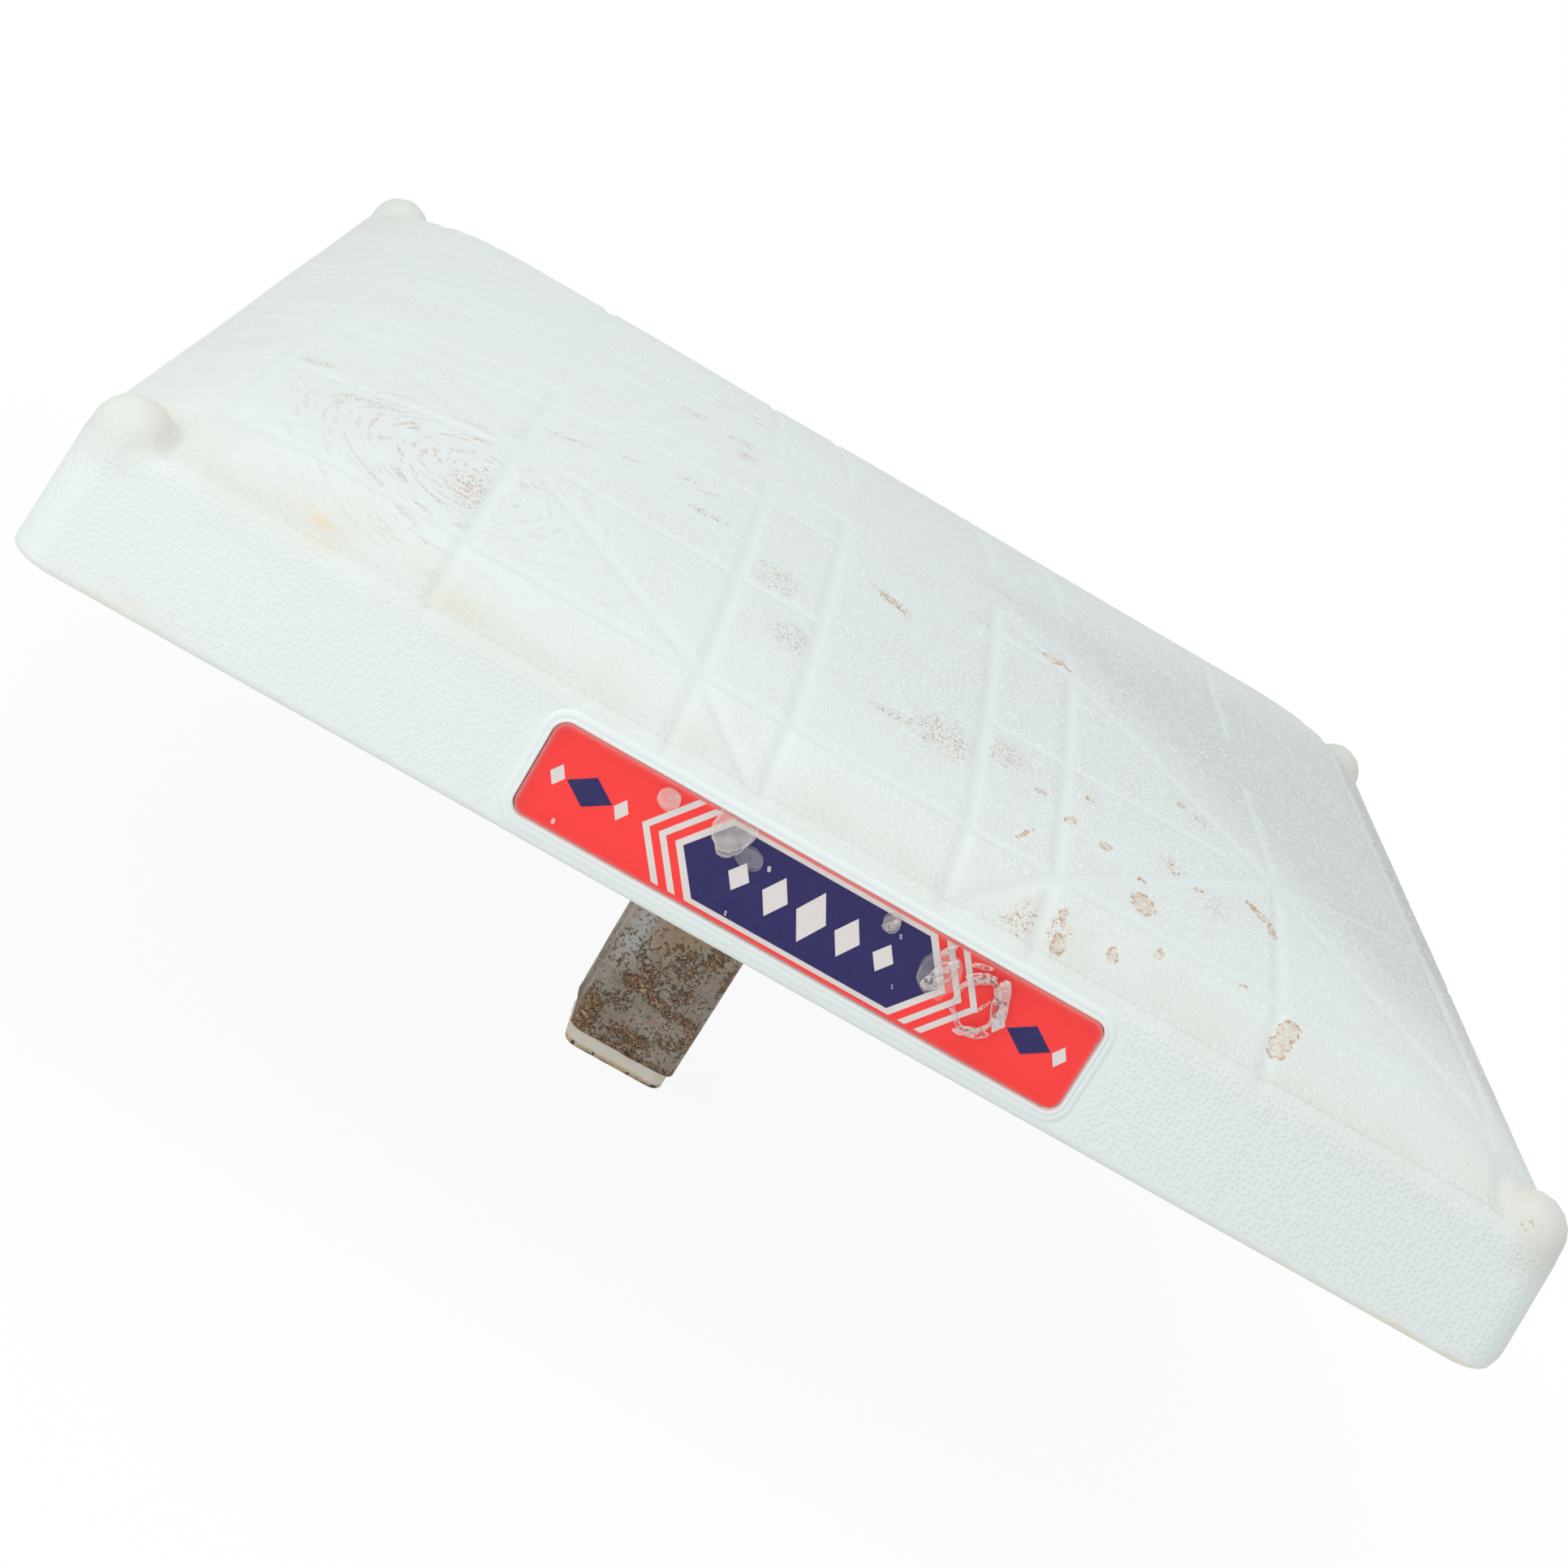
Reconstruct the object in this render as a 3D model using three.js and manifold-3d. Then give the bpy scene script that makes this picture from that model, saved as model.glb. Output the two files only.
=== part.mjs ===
// Ground-post baseball base: a moulded rubber cover over a foam core, stiffened by a
// core board and a sole panel, with a square steel post under its middle and a printed
// nameplate in its front wall. Millimetres, +Z up. The origin is the middle of the foot,
// at ground level, so the post reaches below it. The nameplate faces -Y.
import * as THREE from "three";
import { mergeVertices } from "three/addons/utils/BufferGeometryUtils.js";
import Module from "manifold-3d";

// Clearances
const FIT = 0.3; // between pieces that are fitted into or beside each other
const OVERCUT = 2; // how far a cutter runs past the face that it opens

// Rubber cover
const FOOT_WIDTH = 457.2;
const FOOT_CORNER = 12; // plan radius of the wall's corners
const FOOT_ROUND = 4; // bottom edge
const WALL_HEIGHT = 41;
const WALL_DRAFT = THREE.MathUtils.degToRad(4);
const SHOULDER_RUN = 26.5; // sloping band between wall and crown, measured inwards
const SHOULDER_RISE = 14.4;
const SHOULDER_ROUND = 5; // edge between wall and band
const CROWN_RISE = 23; // above the band
const CROWN_POWER = 1.7; // 1 is a pyramid, 2 a round cushion
const CROWN_CORNER = 33; // plan radius where the crown meets the band
const CROWN_RINGS = 5;
const RUBBER = 9; // wall of the shell
const EAR_RADIUS = 11; // round post at each corner
const EAR_RISE = 8.5; // above the wall's top edge
const EAR_ROOT = 14; // how far an ear's stem reaches down into the rubber

// Grip grooves in the top, the same in all four directions
const GROOVE_WIDTH = 5;
const GROOVE_DEPTH = 1.1;
const GROOVE_FLARE = 0.3; // share by which a cutter stands out past the groove's edges
const GROOVE_TRUTH = 0.2; // how closely a groove's floor follows the crown
const GROOVE_SPLIT = 8; // shortest stretch that is split to follow it
const GROOVE_OFFSETS = { band: 27.7, inner: 55.3, outer: 127 }; // from the middle
const BORDER_INSET = 2; // border groove, inside the crown's edge

// Nameplate
const NAMEPLATE_LENGTH = 166.6;
const NAMEPLATE_HEIGHT = 28.2;
const NAMEPLATE_CORNER = 4;
const NAMEPLATE_LIFT = 6.4; // lower edge above the foot
const NAMEPLATE_LAYERS = { backing: 0.8, print: 1, lens: 2 };
const LENS_PROUD = 0.8; // beyond the wall's face
const LENS_EDGE = 0.9; // softened edge of the clear lens
const RIM_WIDTH = 2.2;
const RIM_PROUD = 1.4;
const RIM_ROOT = 1.5; // depth of the rim inside the wall
const RIM_EDGE = 0.8;

// Boards under the foam
const SOLE_WEB = 4; // left above the post's plate
const BOARD_THICKNESS = 12;
const BOARD_CORNER = 5;

// Steel post and its plate
const PLATE_WIDTH = 140;
const PLATE_CORNER = 8;
const PLATE_THICKNESS = 6;
const POST_WIDTH_TOP = 42.5;
const POST_WIDTH_END = 40;
const POST_LENGTH = 122;
const POST_CORNER = 5;
const POST_WALL = 3;
const WELD_LEG = 5;
const PLUG_INSET = 1.25; // cap's sides inside the tube's
const PLUG_CAP = 6.5; // shows below the tube
const PLUG_STEM = 20; // hidden in the tube
const PLUG_EDGE = 1.5;

// Fasteners
const BOLT_INSET = 18; // from the plate's edges
const BOLT_RADIUS = 5;
const BOLT_HEAD_RADIUS = 9.5;
const BOLT_SOCKET_RADIUS = 3.4;
const BOLT_SOCKET_DEPTH = 3;
const BOLT_END = 3; // stands out above the nut
const WASHER_RADIUS = 11;
const WASHER_THICKNESS = 2;
const NUT_FLATS = 17;
const NUT_HEIGHT = 8;
const SCREW_INSET = 34; // from the sole's edges
const SCREW_RADIUS = 2.2;
const SCREW_HEAD_RADIUS = 4.6;
const SCREW_COVER = 3; // board left above a screw's tip
const SCREW_SOCKET_RADIUS = 1.6;
const SCREW_SOCKET_DEPTH = 1.6;
const HEAD_SINK = 0.3; // heads lie this far above the underside
const POCKET_MARGIN = 3; // foam's clearance round a nut and washer

// Facets
const CORNER_STEPS = 4;
const ROUND_STEPS = 3;
const TURN_STEPS = 12;
const LEAST_CORNER = 1;
const MOST_ROUND = 0.98; // largest corner, as a share of a ring's half width
const RING_TRUTH = 0.01; // how closely a ring is found through a plan point
const WELD = 1e-4; // vertices this close are one

// Sizes that follow
const BAND_TOP = WALL_HEIGHT + SHOULDER_RISE;
const CROWN_TOP = BAND_TOP + CROWN_RISE;
const EAR_TOP = WALL_HEIGHT + EAR_RISE;
const wallHalf = (z) => FOOT_WIDTH / 2 - z * Math.tan(WALL_DRAFT);
const WALL_TOP_HALF = wallHalf(WALL_HEIGHT);
const BAND_HALF = WALL_TOP_HALF - SHOULDER_RUN;
const BORDER_GROOVE = BAND_HALF - BORDER_INSET;
const SOLE_THICKNESS = PLATE_THICKNESS + SOLE_WEB;
const FOAM_FLOOR = SOLE_THICKNESS + BOARD_THICKNESS;
const boardHalf = (top) => wallHalf(top) - RUBBER - FIT;
const POCKET_DEPTH =
  NAMEPLATE_LAYERS.backing + NAMEPLATE_LAYERS.print + NAMEPLATE_LAYERS.lens + 3 * FIT - LENS_PROUD;
const NUT_FLOOR = FOAM_FLOOR + WASHER_THICKNESS;
const BOLT_TOP = NUT_FLOOR + NUT_HEIGHT + BOLT_END;
const SCREW_TOP = FOAM_FLOOR - SCREW_COVER;
const SIGNS = [-1, 1];

// Materials
const finish = (color, roughness, metalness = 0) =>
  new THREE.MeshStandardMaterial({ color, roughness, metalness });
const MATERIALS = {
  rubber: finish(0xe4ebea, 0.6),
  foam: finish(0xd9d3bd, 0.95),
  board: finish(0xb9a27c, 0.8),
  sole: finish(0xd5d8d4, 0.7),
  zinc: finish(0x868a86, 0.55, 0.8),
  bright: finish(0xb4b6b8, 0.35, 1),
  plug: finish(0xe2dfd2, 0.5),
  backing: finish(0x2a2a2c, 0.9),
  print: finish(0xd8232f, 0.4),
  lens: new THREE.MeshStandardMaterial({
    color: 0xffffff,
    roughness: 0.08,
    transparent: true,
    opacity: 0.25,
  }),
};

// Solids: closed geometries are joined and cut as manifolds
const wasm = await Module();
wasm.setup();

function bare(geometry) {
  const copy = geometry.clone();
  for (const name of Object.keys(copy.attributes)) {
    if (name !== "position") copy.deleteAttribute(name);
  }
  return mergeVertices(copy, WELD);
}

function signedVolume(geometry) {
  const [a, b, c] = [new THREE.Vector3(), new THREE.Vector3(), new THREE.Vector3()];
  const index = geometry.index.array;
  let six = 0;
  for (let i = 0; i < index.length; i += 3) {
    a.fromBufferAttribute(geometry.attributes.position, index[i]);
    b.fromBufferAttribute(geometry.attributes.position, index[i + 1]);
    c.fromBufferAttribute(geometry.attributes.position, index[i + 2]);
    six += a.dot(b.cross(c));
  }
  return six / 6;
}

function solid(geometry) {
  const clean = bare(geometry);
  const triVerts = new Uint32Array(clean.index.array);
  if (signedVolume(clean) < 0) {
    for (let i = 0; i < triVerts.length; i += 3) {
      [triVerts[i], triVerts[i + 1]] = [triVerts[i + 1], triVerts[i]];
    }
  }
  const vertProperties = new Float32Array(clean.attributes.position.array);
  return new wasm.Manifold(new wasm.Mesh({ numProp: 3, vertProperties, triVerts }));
}

function geometryOf(body) {
  const mesh = body.getMesh();
  const geometry = new THREE.BufferGeometry();
  geometry.setAttribute("position", new THREE.BufferAttribute(new Float32Array(mesh.vertProperties), 3));
  geometry.setIndex(new THREE.BufferAttribute(new Uint32Array(mesh.triVerts), 1));
  geometry.computeVertexNormals();
  return geometry;
}

const cutFrom = (body, cutters) => cutters.reduce((rest, cutter) => rest.subtract(cutter), body);

// Rounded squares and what is lofted through them
function squareRing(half, corner, z) {
  const radius = Math.min(corner, half * MOST_ROUND);
  const points = [];
  for (let quarter = 0; quarter < 4; quarter += 1) {
    const turn = (quarter * Math.PI) / 2;
    const middle = new THREE.Vector2(half - radius, half - radius);
    for (let step = 0; step <= CORNER_STEPS; step += 1) {
      const angle = (step / CORNER_STEPS) * (Math.PI / 2);
      const point = new THREE.Vector2(Math.cos(angle), Math.sin(angle)).multiplyScalar(radius);
      point.add(middle).rotateAround(new THREE.Vector2(), turn);
      points.push(new THREE.Vector3(point.x, point.y, z));
    }
  }
  return points;
}

// Skins rings of equal count in order; closed loops join the last ring to the first,
// open ones end in a fan at each end.
function skin(rings, loop = false) {
  const count = rings[0].length;
  const vertices = rings.flat();
  const triangles = [];
  const spans = loop ? rings.length : rings.length - 1;
  for (let row = 0; row < spans; row += 1) {
    const next = (row + 1) % rings.length;
    for (let i = 0; i < count; i += 1) {
      const j = (i + 1) % count;
      const [a, b] = [row * count + i, row * count + j];
      const [c, d] = [next * count + i, next * count + j];
      triangles.push(a, b, d, a, d, c);
    }
  }
  if (!loop) {
    for (const [ring, first] of [[0, true], [rings.length - 1, false]]) {
      const hub = vertices.length;
      const middle = rings[ring].reduce((sum, p) => sum.add(p), new THREE.Vector3());
      vertices.push(middle.divideScalar(count));
      for (let i = 0; i < count; i += 1) {
        const [a, b] = [ring * count + i, ring * count + ((i + 1) % count)];
        triangles.push(...(first ? [hub, b, a] : [hub, a, b]));
      }
    }
  }
  const geometry = new THREE.BufferGeometry().setFromPoints(vertices);
  geometry.setIndex(triangles);
  return geometry;
}

const loft = (profile) => skin(profile.map(({ half, corner, z }) => squareRing(half, corner, z)));

// Flat pieces
function roundedRectangle(width, height, radius) {
  const [x, y] = [width / 2, height / 2];
  const shape = new THREE.Shape();
  shape.absarc(x - radius, y - radius, radius, 0, Math.PI / 2);
  shape.absarc(radius - x, y - radius, radius, Math.PI / 2, Math.PI);
  shape.absarc(radius - x, radius - y, radius, Math.PI, 1.5 * Math.PI);
  shape.absarc(x - radius, radius - y, radius, 1.5 * Math.PI, 2 * Math.PI);
  return shape;
}

function slab(shape, depth, edge = 0) {
  const bevel = { bevelThickness: edge, bevelSize: edge, bevelOffset: -edge, bevelSegments: 2 };
  const options = { depth: depth - 2 * edge, bevelEnabled: edge > 0, curveSegments: CORNER_STEPS };
  const geometry = new THREE.ExtrudeGeometry(shape, { ...options, ...bevel });
  return geometry.translate(0, 0, edge);
}

const squarePlate = (width, corner, thickness, floor) =>
  slab(roundedRectangle(width, width, corner), thickness).translate(0, 0, floor);

// Turned pieces: profile points are [radius, height]
function turned(profile) {
  const points = profile.map(([radius, height]) => new THREE.Vector2(radius, height));
  return new THREE.LatheGeometry(points, TURN_STEPS).rotateX(Math.PI / 2);
}

const rod = (radius, floor, top) => turned([[0, floor], [radius, floor], [radius, top], [0, top]]);

function hexRod(radius, floor, top) {
  const geometry = new THREE.CylinderGeometry(radius, radius, top - floor, 6).rotateX(Math.PI / 2);
  return geometry.translate(0, 0, (floor + top) / 2);
}

const at = (geometry, [x, y]) => geometry.clone().translate(x, y, 0);

// Height of the cover's top above a ring of the given half width
function topHeight(half) {
  if (half <= BAND_HALF) return CROWN_TOP - CROWN_RISE * (half / BAND_HALF) ** CROWN_POWER;
  return BAND_TOP - (SHOULDER_RISE * (half - BAND_HALF)) / SHOULDER_RUN;
}

function topCorner(half) {
  if (half <= BAND_HALF) return (CROWN_CORNER * half) / BAND_HALF;
  return CROWN_CORNER + ((FOOT_CORNER - CROWN_CORNER) * (half - BAND_HALF)) / SHOULDER_RUN;
}

// Half width of the ring that passes through a plan point, by halving the range
function ringThrough(x, y) {
  const [ax, ay] = [Math.abs(x), Math.abs(y)];
  let [low, high] = [Math.max(ax, ay), ax + ay + 1];
  while (high - low > RING_TRUTH) {
    const half = (low + high) / 2;
    const corner = Math.max(topCorner(half), 0);
    const [dx, dy] = [ax - half + corner, ay - half + corner];
    const outside = dx > 0 && dy > 0 && Math.hypot(dx, dy) > corner;
    if (outside) low = half;
    else high = half;
  }
  return high;
}

const surfaceHeight = (x, y) => topHeight(ringThrough(x, y));

// Outer form of the base, drawn in by an inset for the shell's hollow and the foam
function crownRings(inset) {
  return Array.from({ length: CROWN_RINGS + 1 }, (_, i) => {
    const half = Math.max(BAND_HALF * (1 - i / CROWN_RINGS), LEAST_CORNER);
    return { half, corner: topCorner(half), z: topHeight(half) - inset };
  });
}

function innerForm(inset, floor) {
  const top = WALL_TOP_HALF - inset;
  const corner = Math.max(FOOT_CORNER - inset, LEAST_CORNER);
  return loft([
    { half: wallHalf(floor) - inset, corner, z: floor },
    { half: top, corner, z: topHeight(top) - inset },
    ...crownRings(inset),
  ]);
}

function outerForm() {
  const quarter = Array.from({ length: ROUND_STEPS + 1 }, (_, i) => (i / ROUND_STEPS) * (Math.PI / 2));
  const foot = quarter.map((angle) => ({
    half: wallHalf(0) - FOOT_ROUND * (1 - Math.sin(angle)),
    corner: FOOT_CORNER,
    z: FOOT_ROUND * (1 - Math.cos(angle)),
  }));
  const slope = Math.hypot(SHOULDER_RUN, SHOULDER_RISE);
  const below = { half: wallHalf(WALL_HEIGHT - SHOULDER_ROUND), z: WALL_HEIGHT - SHOULDER_ROUND };
  const above = {
    half: WALL_TOP_HALF - (SHOULDER_ROUND * SHOULDER_RUN) / slope,
    z: WALL_HEIGHT + (SHOULDER_ROUND * SHOULDER_RISE) / slope,
  };
  const bend = new THREE.QuadraticBezierCurve(
    new THREE.Vector2(below.half, below.z),
    new THREE.Vector2(WALL_TOP_HALF, WALL_HEIGHT),
    new THREE.Vector2(above.half, above.z),
  );
  const shoulder = bend.getPoints(ROUND_STEPS).map(({ x, y }) => ({ half: x, corner: FOOT_CORNER, z: y }));
  return loft([...foot, ...shoulder, ...crownRings(0)]);
}

// Corner ears
function ear() {
  const middle = EAR_TOP - EAR_RADIUS;
  const dome = Array.from({ length: CORNER_STEPS + 1 }, (_, i) => {
    const angle = (i / CORNER_STEPS) * (Math.PI / 2);
    return [EAR_RADIUS * Math.cos(angle), middle + EAR_RADIUS * Math.sin(angle)];
  });
  dome[CORNER_STEPS][0] = 0;
  return turned([[0, middle - EAR_ROOT], [EAR_RADIUS, middle - EAR_ROOT], ...dome]);
}

// Plan points of a straight groove, closer together where the top bends under it
function bendPoints(from, to) {
  const middle = from.clone().lerp(to, 0.5);
  const height = (point) => surfaceHeight(point.x, point.y);
  const bend = Math.abs(height(middle) - (height(from) + height(to)) / 2);
  if (from.distanceTo(to) < GROOVE_SPLIT || bend < GROOVE_TRUTH) return [to];
  return [...bendPoints(from, middle), ...bendPoints(middle, to)];
}

// Grip grooves: a cutter with a V section follows the top through plan points in a line
function grooveCutter(stops) {
  const ends = stops.map(([x, y]) => new THREE.Vector2(x, y));
  const points = [ends[0]];
  for (let i = 1; i < ends.length; i += 1) points.push(...bendPoints(ends[i - 1], ends[i]));
  const along = ends.at(-1).clone().sub(ends[0]);
  const side = new THREE.Vector2(-along.y, along.x).setLength((GROOVE_WIDTH / 2) * (1 + GROOVE_FLARE));
  const above = (point, lift) =>
    new THREE.Vector3(point.x, point.y, surfaceHeight(point.x, point.y) + lift);
  const edge = (point, sign) =>
    above(point.clone().addScaledVector(side, sign), GROOVE_DEPTH * GROOVE_FLARE);
  const rings = points.map((point) => [
    above(point, -GROOVE_DEPTH),
    edge(point, -1),
    above(point, 2 * OVERCUT),
    edge(point, 1),
  ]);
  return solid(skin(rings));
}

function gripGrooves() {
  const { band, inner, outer } = GROOVE_OFFSETS;
  const rim = WALL_TOP_HALF + OVERCUT;
  const runs = [band, inner, outer].map((offset) => [
    [offset, band],
    [offset, Math.max(offset, band)],
    [offset, BAND_HALF],
    [offset, rim],
  ]);
  const swap = (line) => line.map(([x, y]) => [y, x]);
  const border = [
    [BORDER_GROOVE, 0],
    [BORDER_GROOVE, BORDER_GROOVE],
  ];
  const lines = [
    ...runs,
    ...runs.map(swap),
    border,
    swap(border),
    [
      [band, band],
      [BORDER_GROOVE, BORDER_GROOVE],
    ],
    [
      [rim, 2 * outer - rim],
      [outer, outer],
      [2 * outer - rim, rim],
    ],
  ];
  const mirrored = SIGNS.flatMap((sx) =>
    SIGNS.flatMap((sy) => lines.map((line) => line.map(([x, y]) => [sx * x, sy * y]))),
  );
  return mirrored.map(grooveCutter);
}

// Nameplate frame: X along the wall, Y up its face, Z out of it
const NAMEPLATE_MIDDLE = NAMEPLATE_LIFT + (NAMEPLATE_HEIGHT / 2) * Math.cos(WALL_DRAFT);
const onFrontWall = new THREE.Matrix4()
  .makeRotationX(Math.PI / 2 - WALL_DRAFT)
  .setPosition(0, -wallHalf(NAMEPLATE_MIDDLE), NAMEPLATE_MIDDLE);

function nameplateOutline(margin) {
  const [width, height] = [NAMEPLATE_LENGTH + 2 * margin, NAMEPLATE_HEIGHT + 2 * margin];
  return roundedRectangle(width, height, NAMEPLATE_CORNER + margin);
}

const nameplateRim = () =>
  slab(nameplateOutline(FIT + RIM_WIDTH), RIM_ROOT + RIM_PROUD, RIM_EDGE)
    .translate(0, 0, -RIM_ROOT)
    .applyMatrix4(onFrontWall);

const nameplatePocket = () =>
  slab(nameplateOutline(FIT), POCKET_DEPTH + RIM_PROUD + OVERCUT)
    .translate(0, 0, -POCKET_DEPTH)
    .applyMatrix4(onFrontWall);

function rubberCover() {
  const offset = WALL_TOP_HALF - EAR_RADIUS - FIT;
  let body = solid(outerForm());
  for (const x of SIGNS) {
    for (const y of SIGNS) body = body.add(solid(at(ear(), [x * offset, y * offset])));
  }
  body = cutFrom(body, gripGrooves());
  body = body.add(solid(nameplateRim())).subtract(solid(nameplatePocket()));
  return geometryOf(body.subtract(solid(innerForm(RUBBER, -OVERCUT))));
}

// Fastener places
const BOLT_OFFSET = PLATE_WIDTH / 2 - BOLT_INSET;
const BOLT_PLACES = SIGNS.flatMap((x) => SIGNS.map((y) => [x * BOLT_OFFSET, y * BOLT_OFFSET]));
const SCREW_OFFSET = boardHalf(SOLE_THICKNESS) - SCREW_INSET;
const SCREW_PLACES = [-1, 0, 1]
  .flatMap((x) => [-1, 0, 1].map((y) => [x * SCREW_OFFSET, y * SCREW_OFFSET]))
  .filter(([x, y]) => x !== 0 || y !== 0);

// Countersunk fastener, head down
function countersunk({ radius, headRadius, top }) {
  const neck = HEAD_SINK + headRadius - radius;
  return turned([[0, HEAD_SINK], [headRadius, HEAD_SINK], [radius, neck], [radius, top], [0, top]]);
}

// Its hole, with clearance all round and open at the underside
function countersink({ radius, headRadius, top }) {
  const neck = HEAD_SINK + headRadius - radius;
  return turned([
    [0, -OVERCUT],
    [headRadius + FIT, -OVERCUT],
    [headRadius + FIT, HEAD_SINK],
    [radius + FIT, neck],
    [radius + FIT, top + FIT],
    [0, top + FIT],
  ]);
}

const BOLT = { radius: BOLT_RADIUS, headRadius: BOLT_HEAD_RADIUS, top: BOLT_TOP };
const SCREW = { radius: SCREW_RADIUS, headRadius: SCREW_HEAD_RADIUS, top: SCREW_TOP };
const holesFor = (fastener, places) => places.map((place) => solid(at(countersink(fastener), place)));

function driven(fastener, socketRadius, socketDepth) {
  const socket = hexRod(socketRadius, -OVERCUT, HEAD_SINK + socketDepth);
  return geometryOf(solid(countersunk(fastener)).subtract(solid(socket)));
}

// Core
function foamCore() {
  const reach = BOLT_TOP + POCKET_MARGIN;
  const pockets = BOLT_PLACES.map((place) =>
    solid(at(rod(WASHER_RADIUS + POCKET_MARGIN, FOAM_FLOOR - OVERCUT, reach), place)),
  );
  return geometryOf(cutFrom(solid(innerForm(RUBBER + FIT, FOAM_FLOOR)), pockets));
}

function coreBoard() {
  const width = 2 * boardHalf(FOAM_FLOOR);
  const body = solid(squarePlate(width, BOARD_CORNER, BOARD_THICKNESS, SOLE_THICKNESS));
  return geometryOf(cutFrom(body, [...holesFor(BOLT, BOLT_PLACES), ...holesFor(SCREW, SCREW_PLACES)]));
}

function solePanel() {
  const width = 2 * boardHalf(SOLE_THICKNESS);
  const body = solid(squarePlate(width, BOARD_CORNER, SOLE_THICKNESS, 0));
  const recess = squarePlate(
    PLATE_WIDTH + 2 * FIT,
    PLATE_CORNER + FIT,
    PLATE_THICKNESS + OVERCUT,
    -OVERCUT,
  );
  const holes = [...holesFor(BOLT, BOLT_PLACES), ...holesFor(SCREW, SCREW_PLACES)];
  return geometryOf(cutFrom(body, [solid(recess), ...holes]));
}

// Post
function postPlate() {
  const body = solid(squarePlate(PLATE_WIDTH, PLATE_CORNER, PLATE_THICKNESS, 0));
  return geometryOf(cutFrom(body, holesFor(BOLT, BOLT_PLACES)));
}

const postHalf = (depth) =>
  THREE.MathUtils.lerp(POST_WIDTH_TOP, POST_WIDTH_END, depth / POST_LENGTH) / 2;

function groundPost() {
  const bore = Math.max(POST_CORNER - POST_WALL, LEAST_CORNER);
  const ring = (depth, growth, corner) => squareRing(postHalf(depth) + growth, corner, -depth);
  const rings = [
    ring(0, WELD_LEG, POST_CORNER + WELD_LEG),
    ring(WELD_LEG, 0, POST_CORNER),
    ring(POST_LENGTH, 0, POST_CORNER),
    ring(POST_LENGTH, -POST_WALL, bore),
    ring(0, -POST_WALL, bore),
  ];
  return geometryOf(solid(skin(rings, true)));
}

function postPlug() {
  const stem = postHalf(POST_LENGTH) - POST_WALL - FIT;
  const stemCorner = Math.max(POST_CORNER - POST_WALL, LEAST_CORNER);
  const cap = postHalf(POST_LENGTH) - PLUG_INSET;
  const end = -POST_LENGTH - FIT - PLUG_CAP;
  const profile = [
    { half: cap - PLUG_EDGE, corner: POST_CORNER - PLUG_EDGE, z: end },
    { half: cap, corner: POST_CORNER, z: end + PLUG_EDGE },
    { half: cap, corner: POST_CORNER, z: -POST_LENGTH - FIT },
    { half: stem, corner: stemCorner, z: -POST_LENGTH - FIT },
    { half: stem, corner: stemCorner, z: -POST_LENGTH + PLUG_STEM },
  ];
  return geometryOf(solid(loft(profile)));
}

// Loose hardware
function washer() {
  const shape = new THREE.Shape().absarc(0, 0, WASHER_RADIUS, 0, 2 * Math.PI);
  shape.holes.push(new THREE.Path().absarc(0, 0, BOLT_RADIUS + FIT, 0, 2 * Math.PI));
  const options = { depth: WASHER_THICKNESS, bevelEnabled: false, curveSegments: TURN_STEPS / 2 };
  return new THREE.ExtrudeGeometry(shape, options).translate(0, 0, FOAM_FLOOR);
}

function nut() {
  const body = solid(hexRod(NUT_FLATS / Math.sqrt(3), NUT_FLOOR, NUT_FLOOR + NUT_HEIGHT));
  return geometryOf(body.subtract(solid(rod(BOLT_RADIUS + FIT, NUT_FLOOR - OVERCUT, BOLT_TOP + OVERCUT))));
}

// Scene graph
const base = new THREE.Group();

function place(name, geometry, material, [x, y] = [0, 0], parent = base) {
  const mesh = new THREE.Mesh(geometry, material);
  mesh.name = name;
  mesh.position.set(x, y, 0);
  parent.add(mesh);
  return mesh;
}

place("rubber_cover", rubberCover(), MATERIALS.rubber);
place("foam_core", foamCore(), MATERIALS.foam);
place("core_board", coreBoard(), MATERIALS.board);
place("sole_panel", solePanel(), MATERIALS.sole);
place("post_plate", postPlate(), MATERIALS.zinc);
place("ground_post", groundPost(), MATERIALS.zinc);
place("post_plug", postPlug(), MATERIALS.plug);

BOLT_PLACES.forEach((spot, i) => {
  const bolt = driven(BOLT, BOLT_SOCKET_RADIUS, BOLT_SOCKET_DEPTH);
  place(`plate_bolt_${i + 1}`, bolt, MATERIALS.bright, spot);
  place(`plate_washer_${i + 1}`, washer(), MATERIALS.bright, spot);
  place(`plate_nut_${i + 1}`, nut(), MATERIALS.bright, spot);
});

SCREW_PLACES.forEach((spot, i) => {
  const screw = driven(SCREW, SCREW_SOCKET_RADIUS, SCREW_SOCKET_DEPTH);
  place(`sole_screw_${i + 1}`, screw, MATERIALS.bright, spot);
});

const nameplate = new THREE.Group();
onFrontWall.decompose(nameplate.position, nameplate.quaternion, nameplate.scale);
let layerFloor = -POCKET_DEPTH;
for (const [layer, thickness] of Object.entries(NAMEPLATE_LAYERS)) {
  const edge = layer === "lens" ? LENS_EDGE : 0;
  const piece = place(
    `nameplate_${layer}`,
    slab(nameplateOutline(0), thickness, edge),
    MATERIALS[layer],
    [0, 0],
    nameplate,
  );
  piece.position.z = layerFloor + FIT;
  layerFloor += FIT + thickness;
}
base.add(nameplate);

export default base;
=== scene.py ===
# Looks of a used ground-post baseball base: worn white rubber with grip grooves, a glossy
# nameplate that has started to peel, and a rusty square post. Metres, +Z up, nameplate at -Y.
import math

import bpy
import numpy as np
from mathutils import Matrix, Vector, noise


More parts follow.
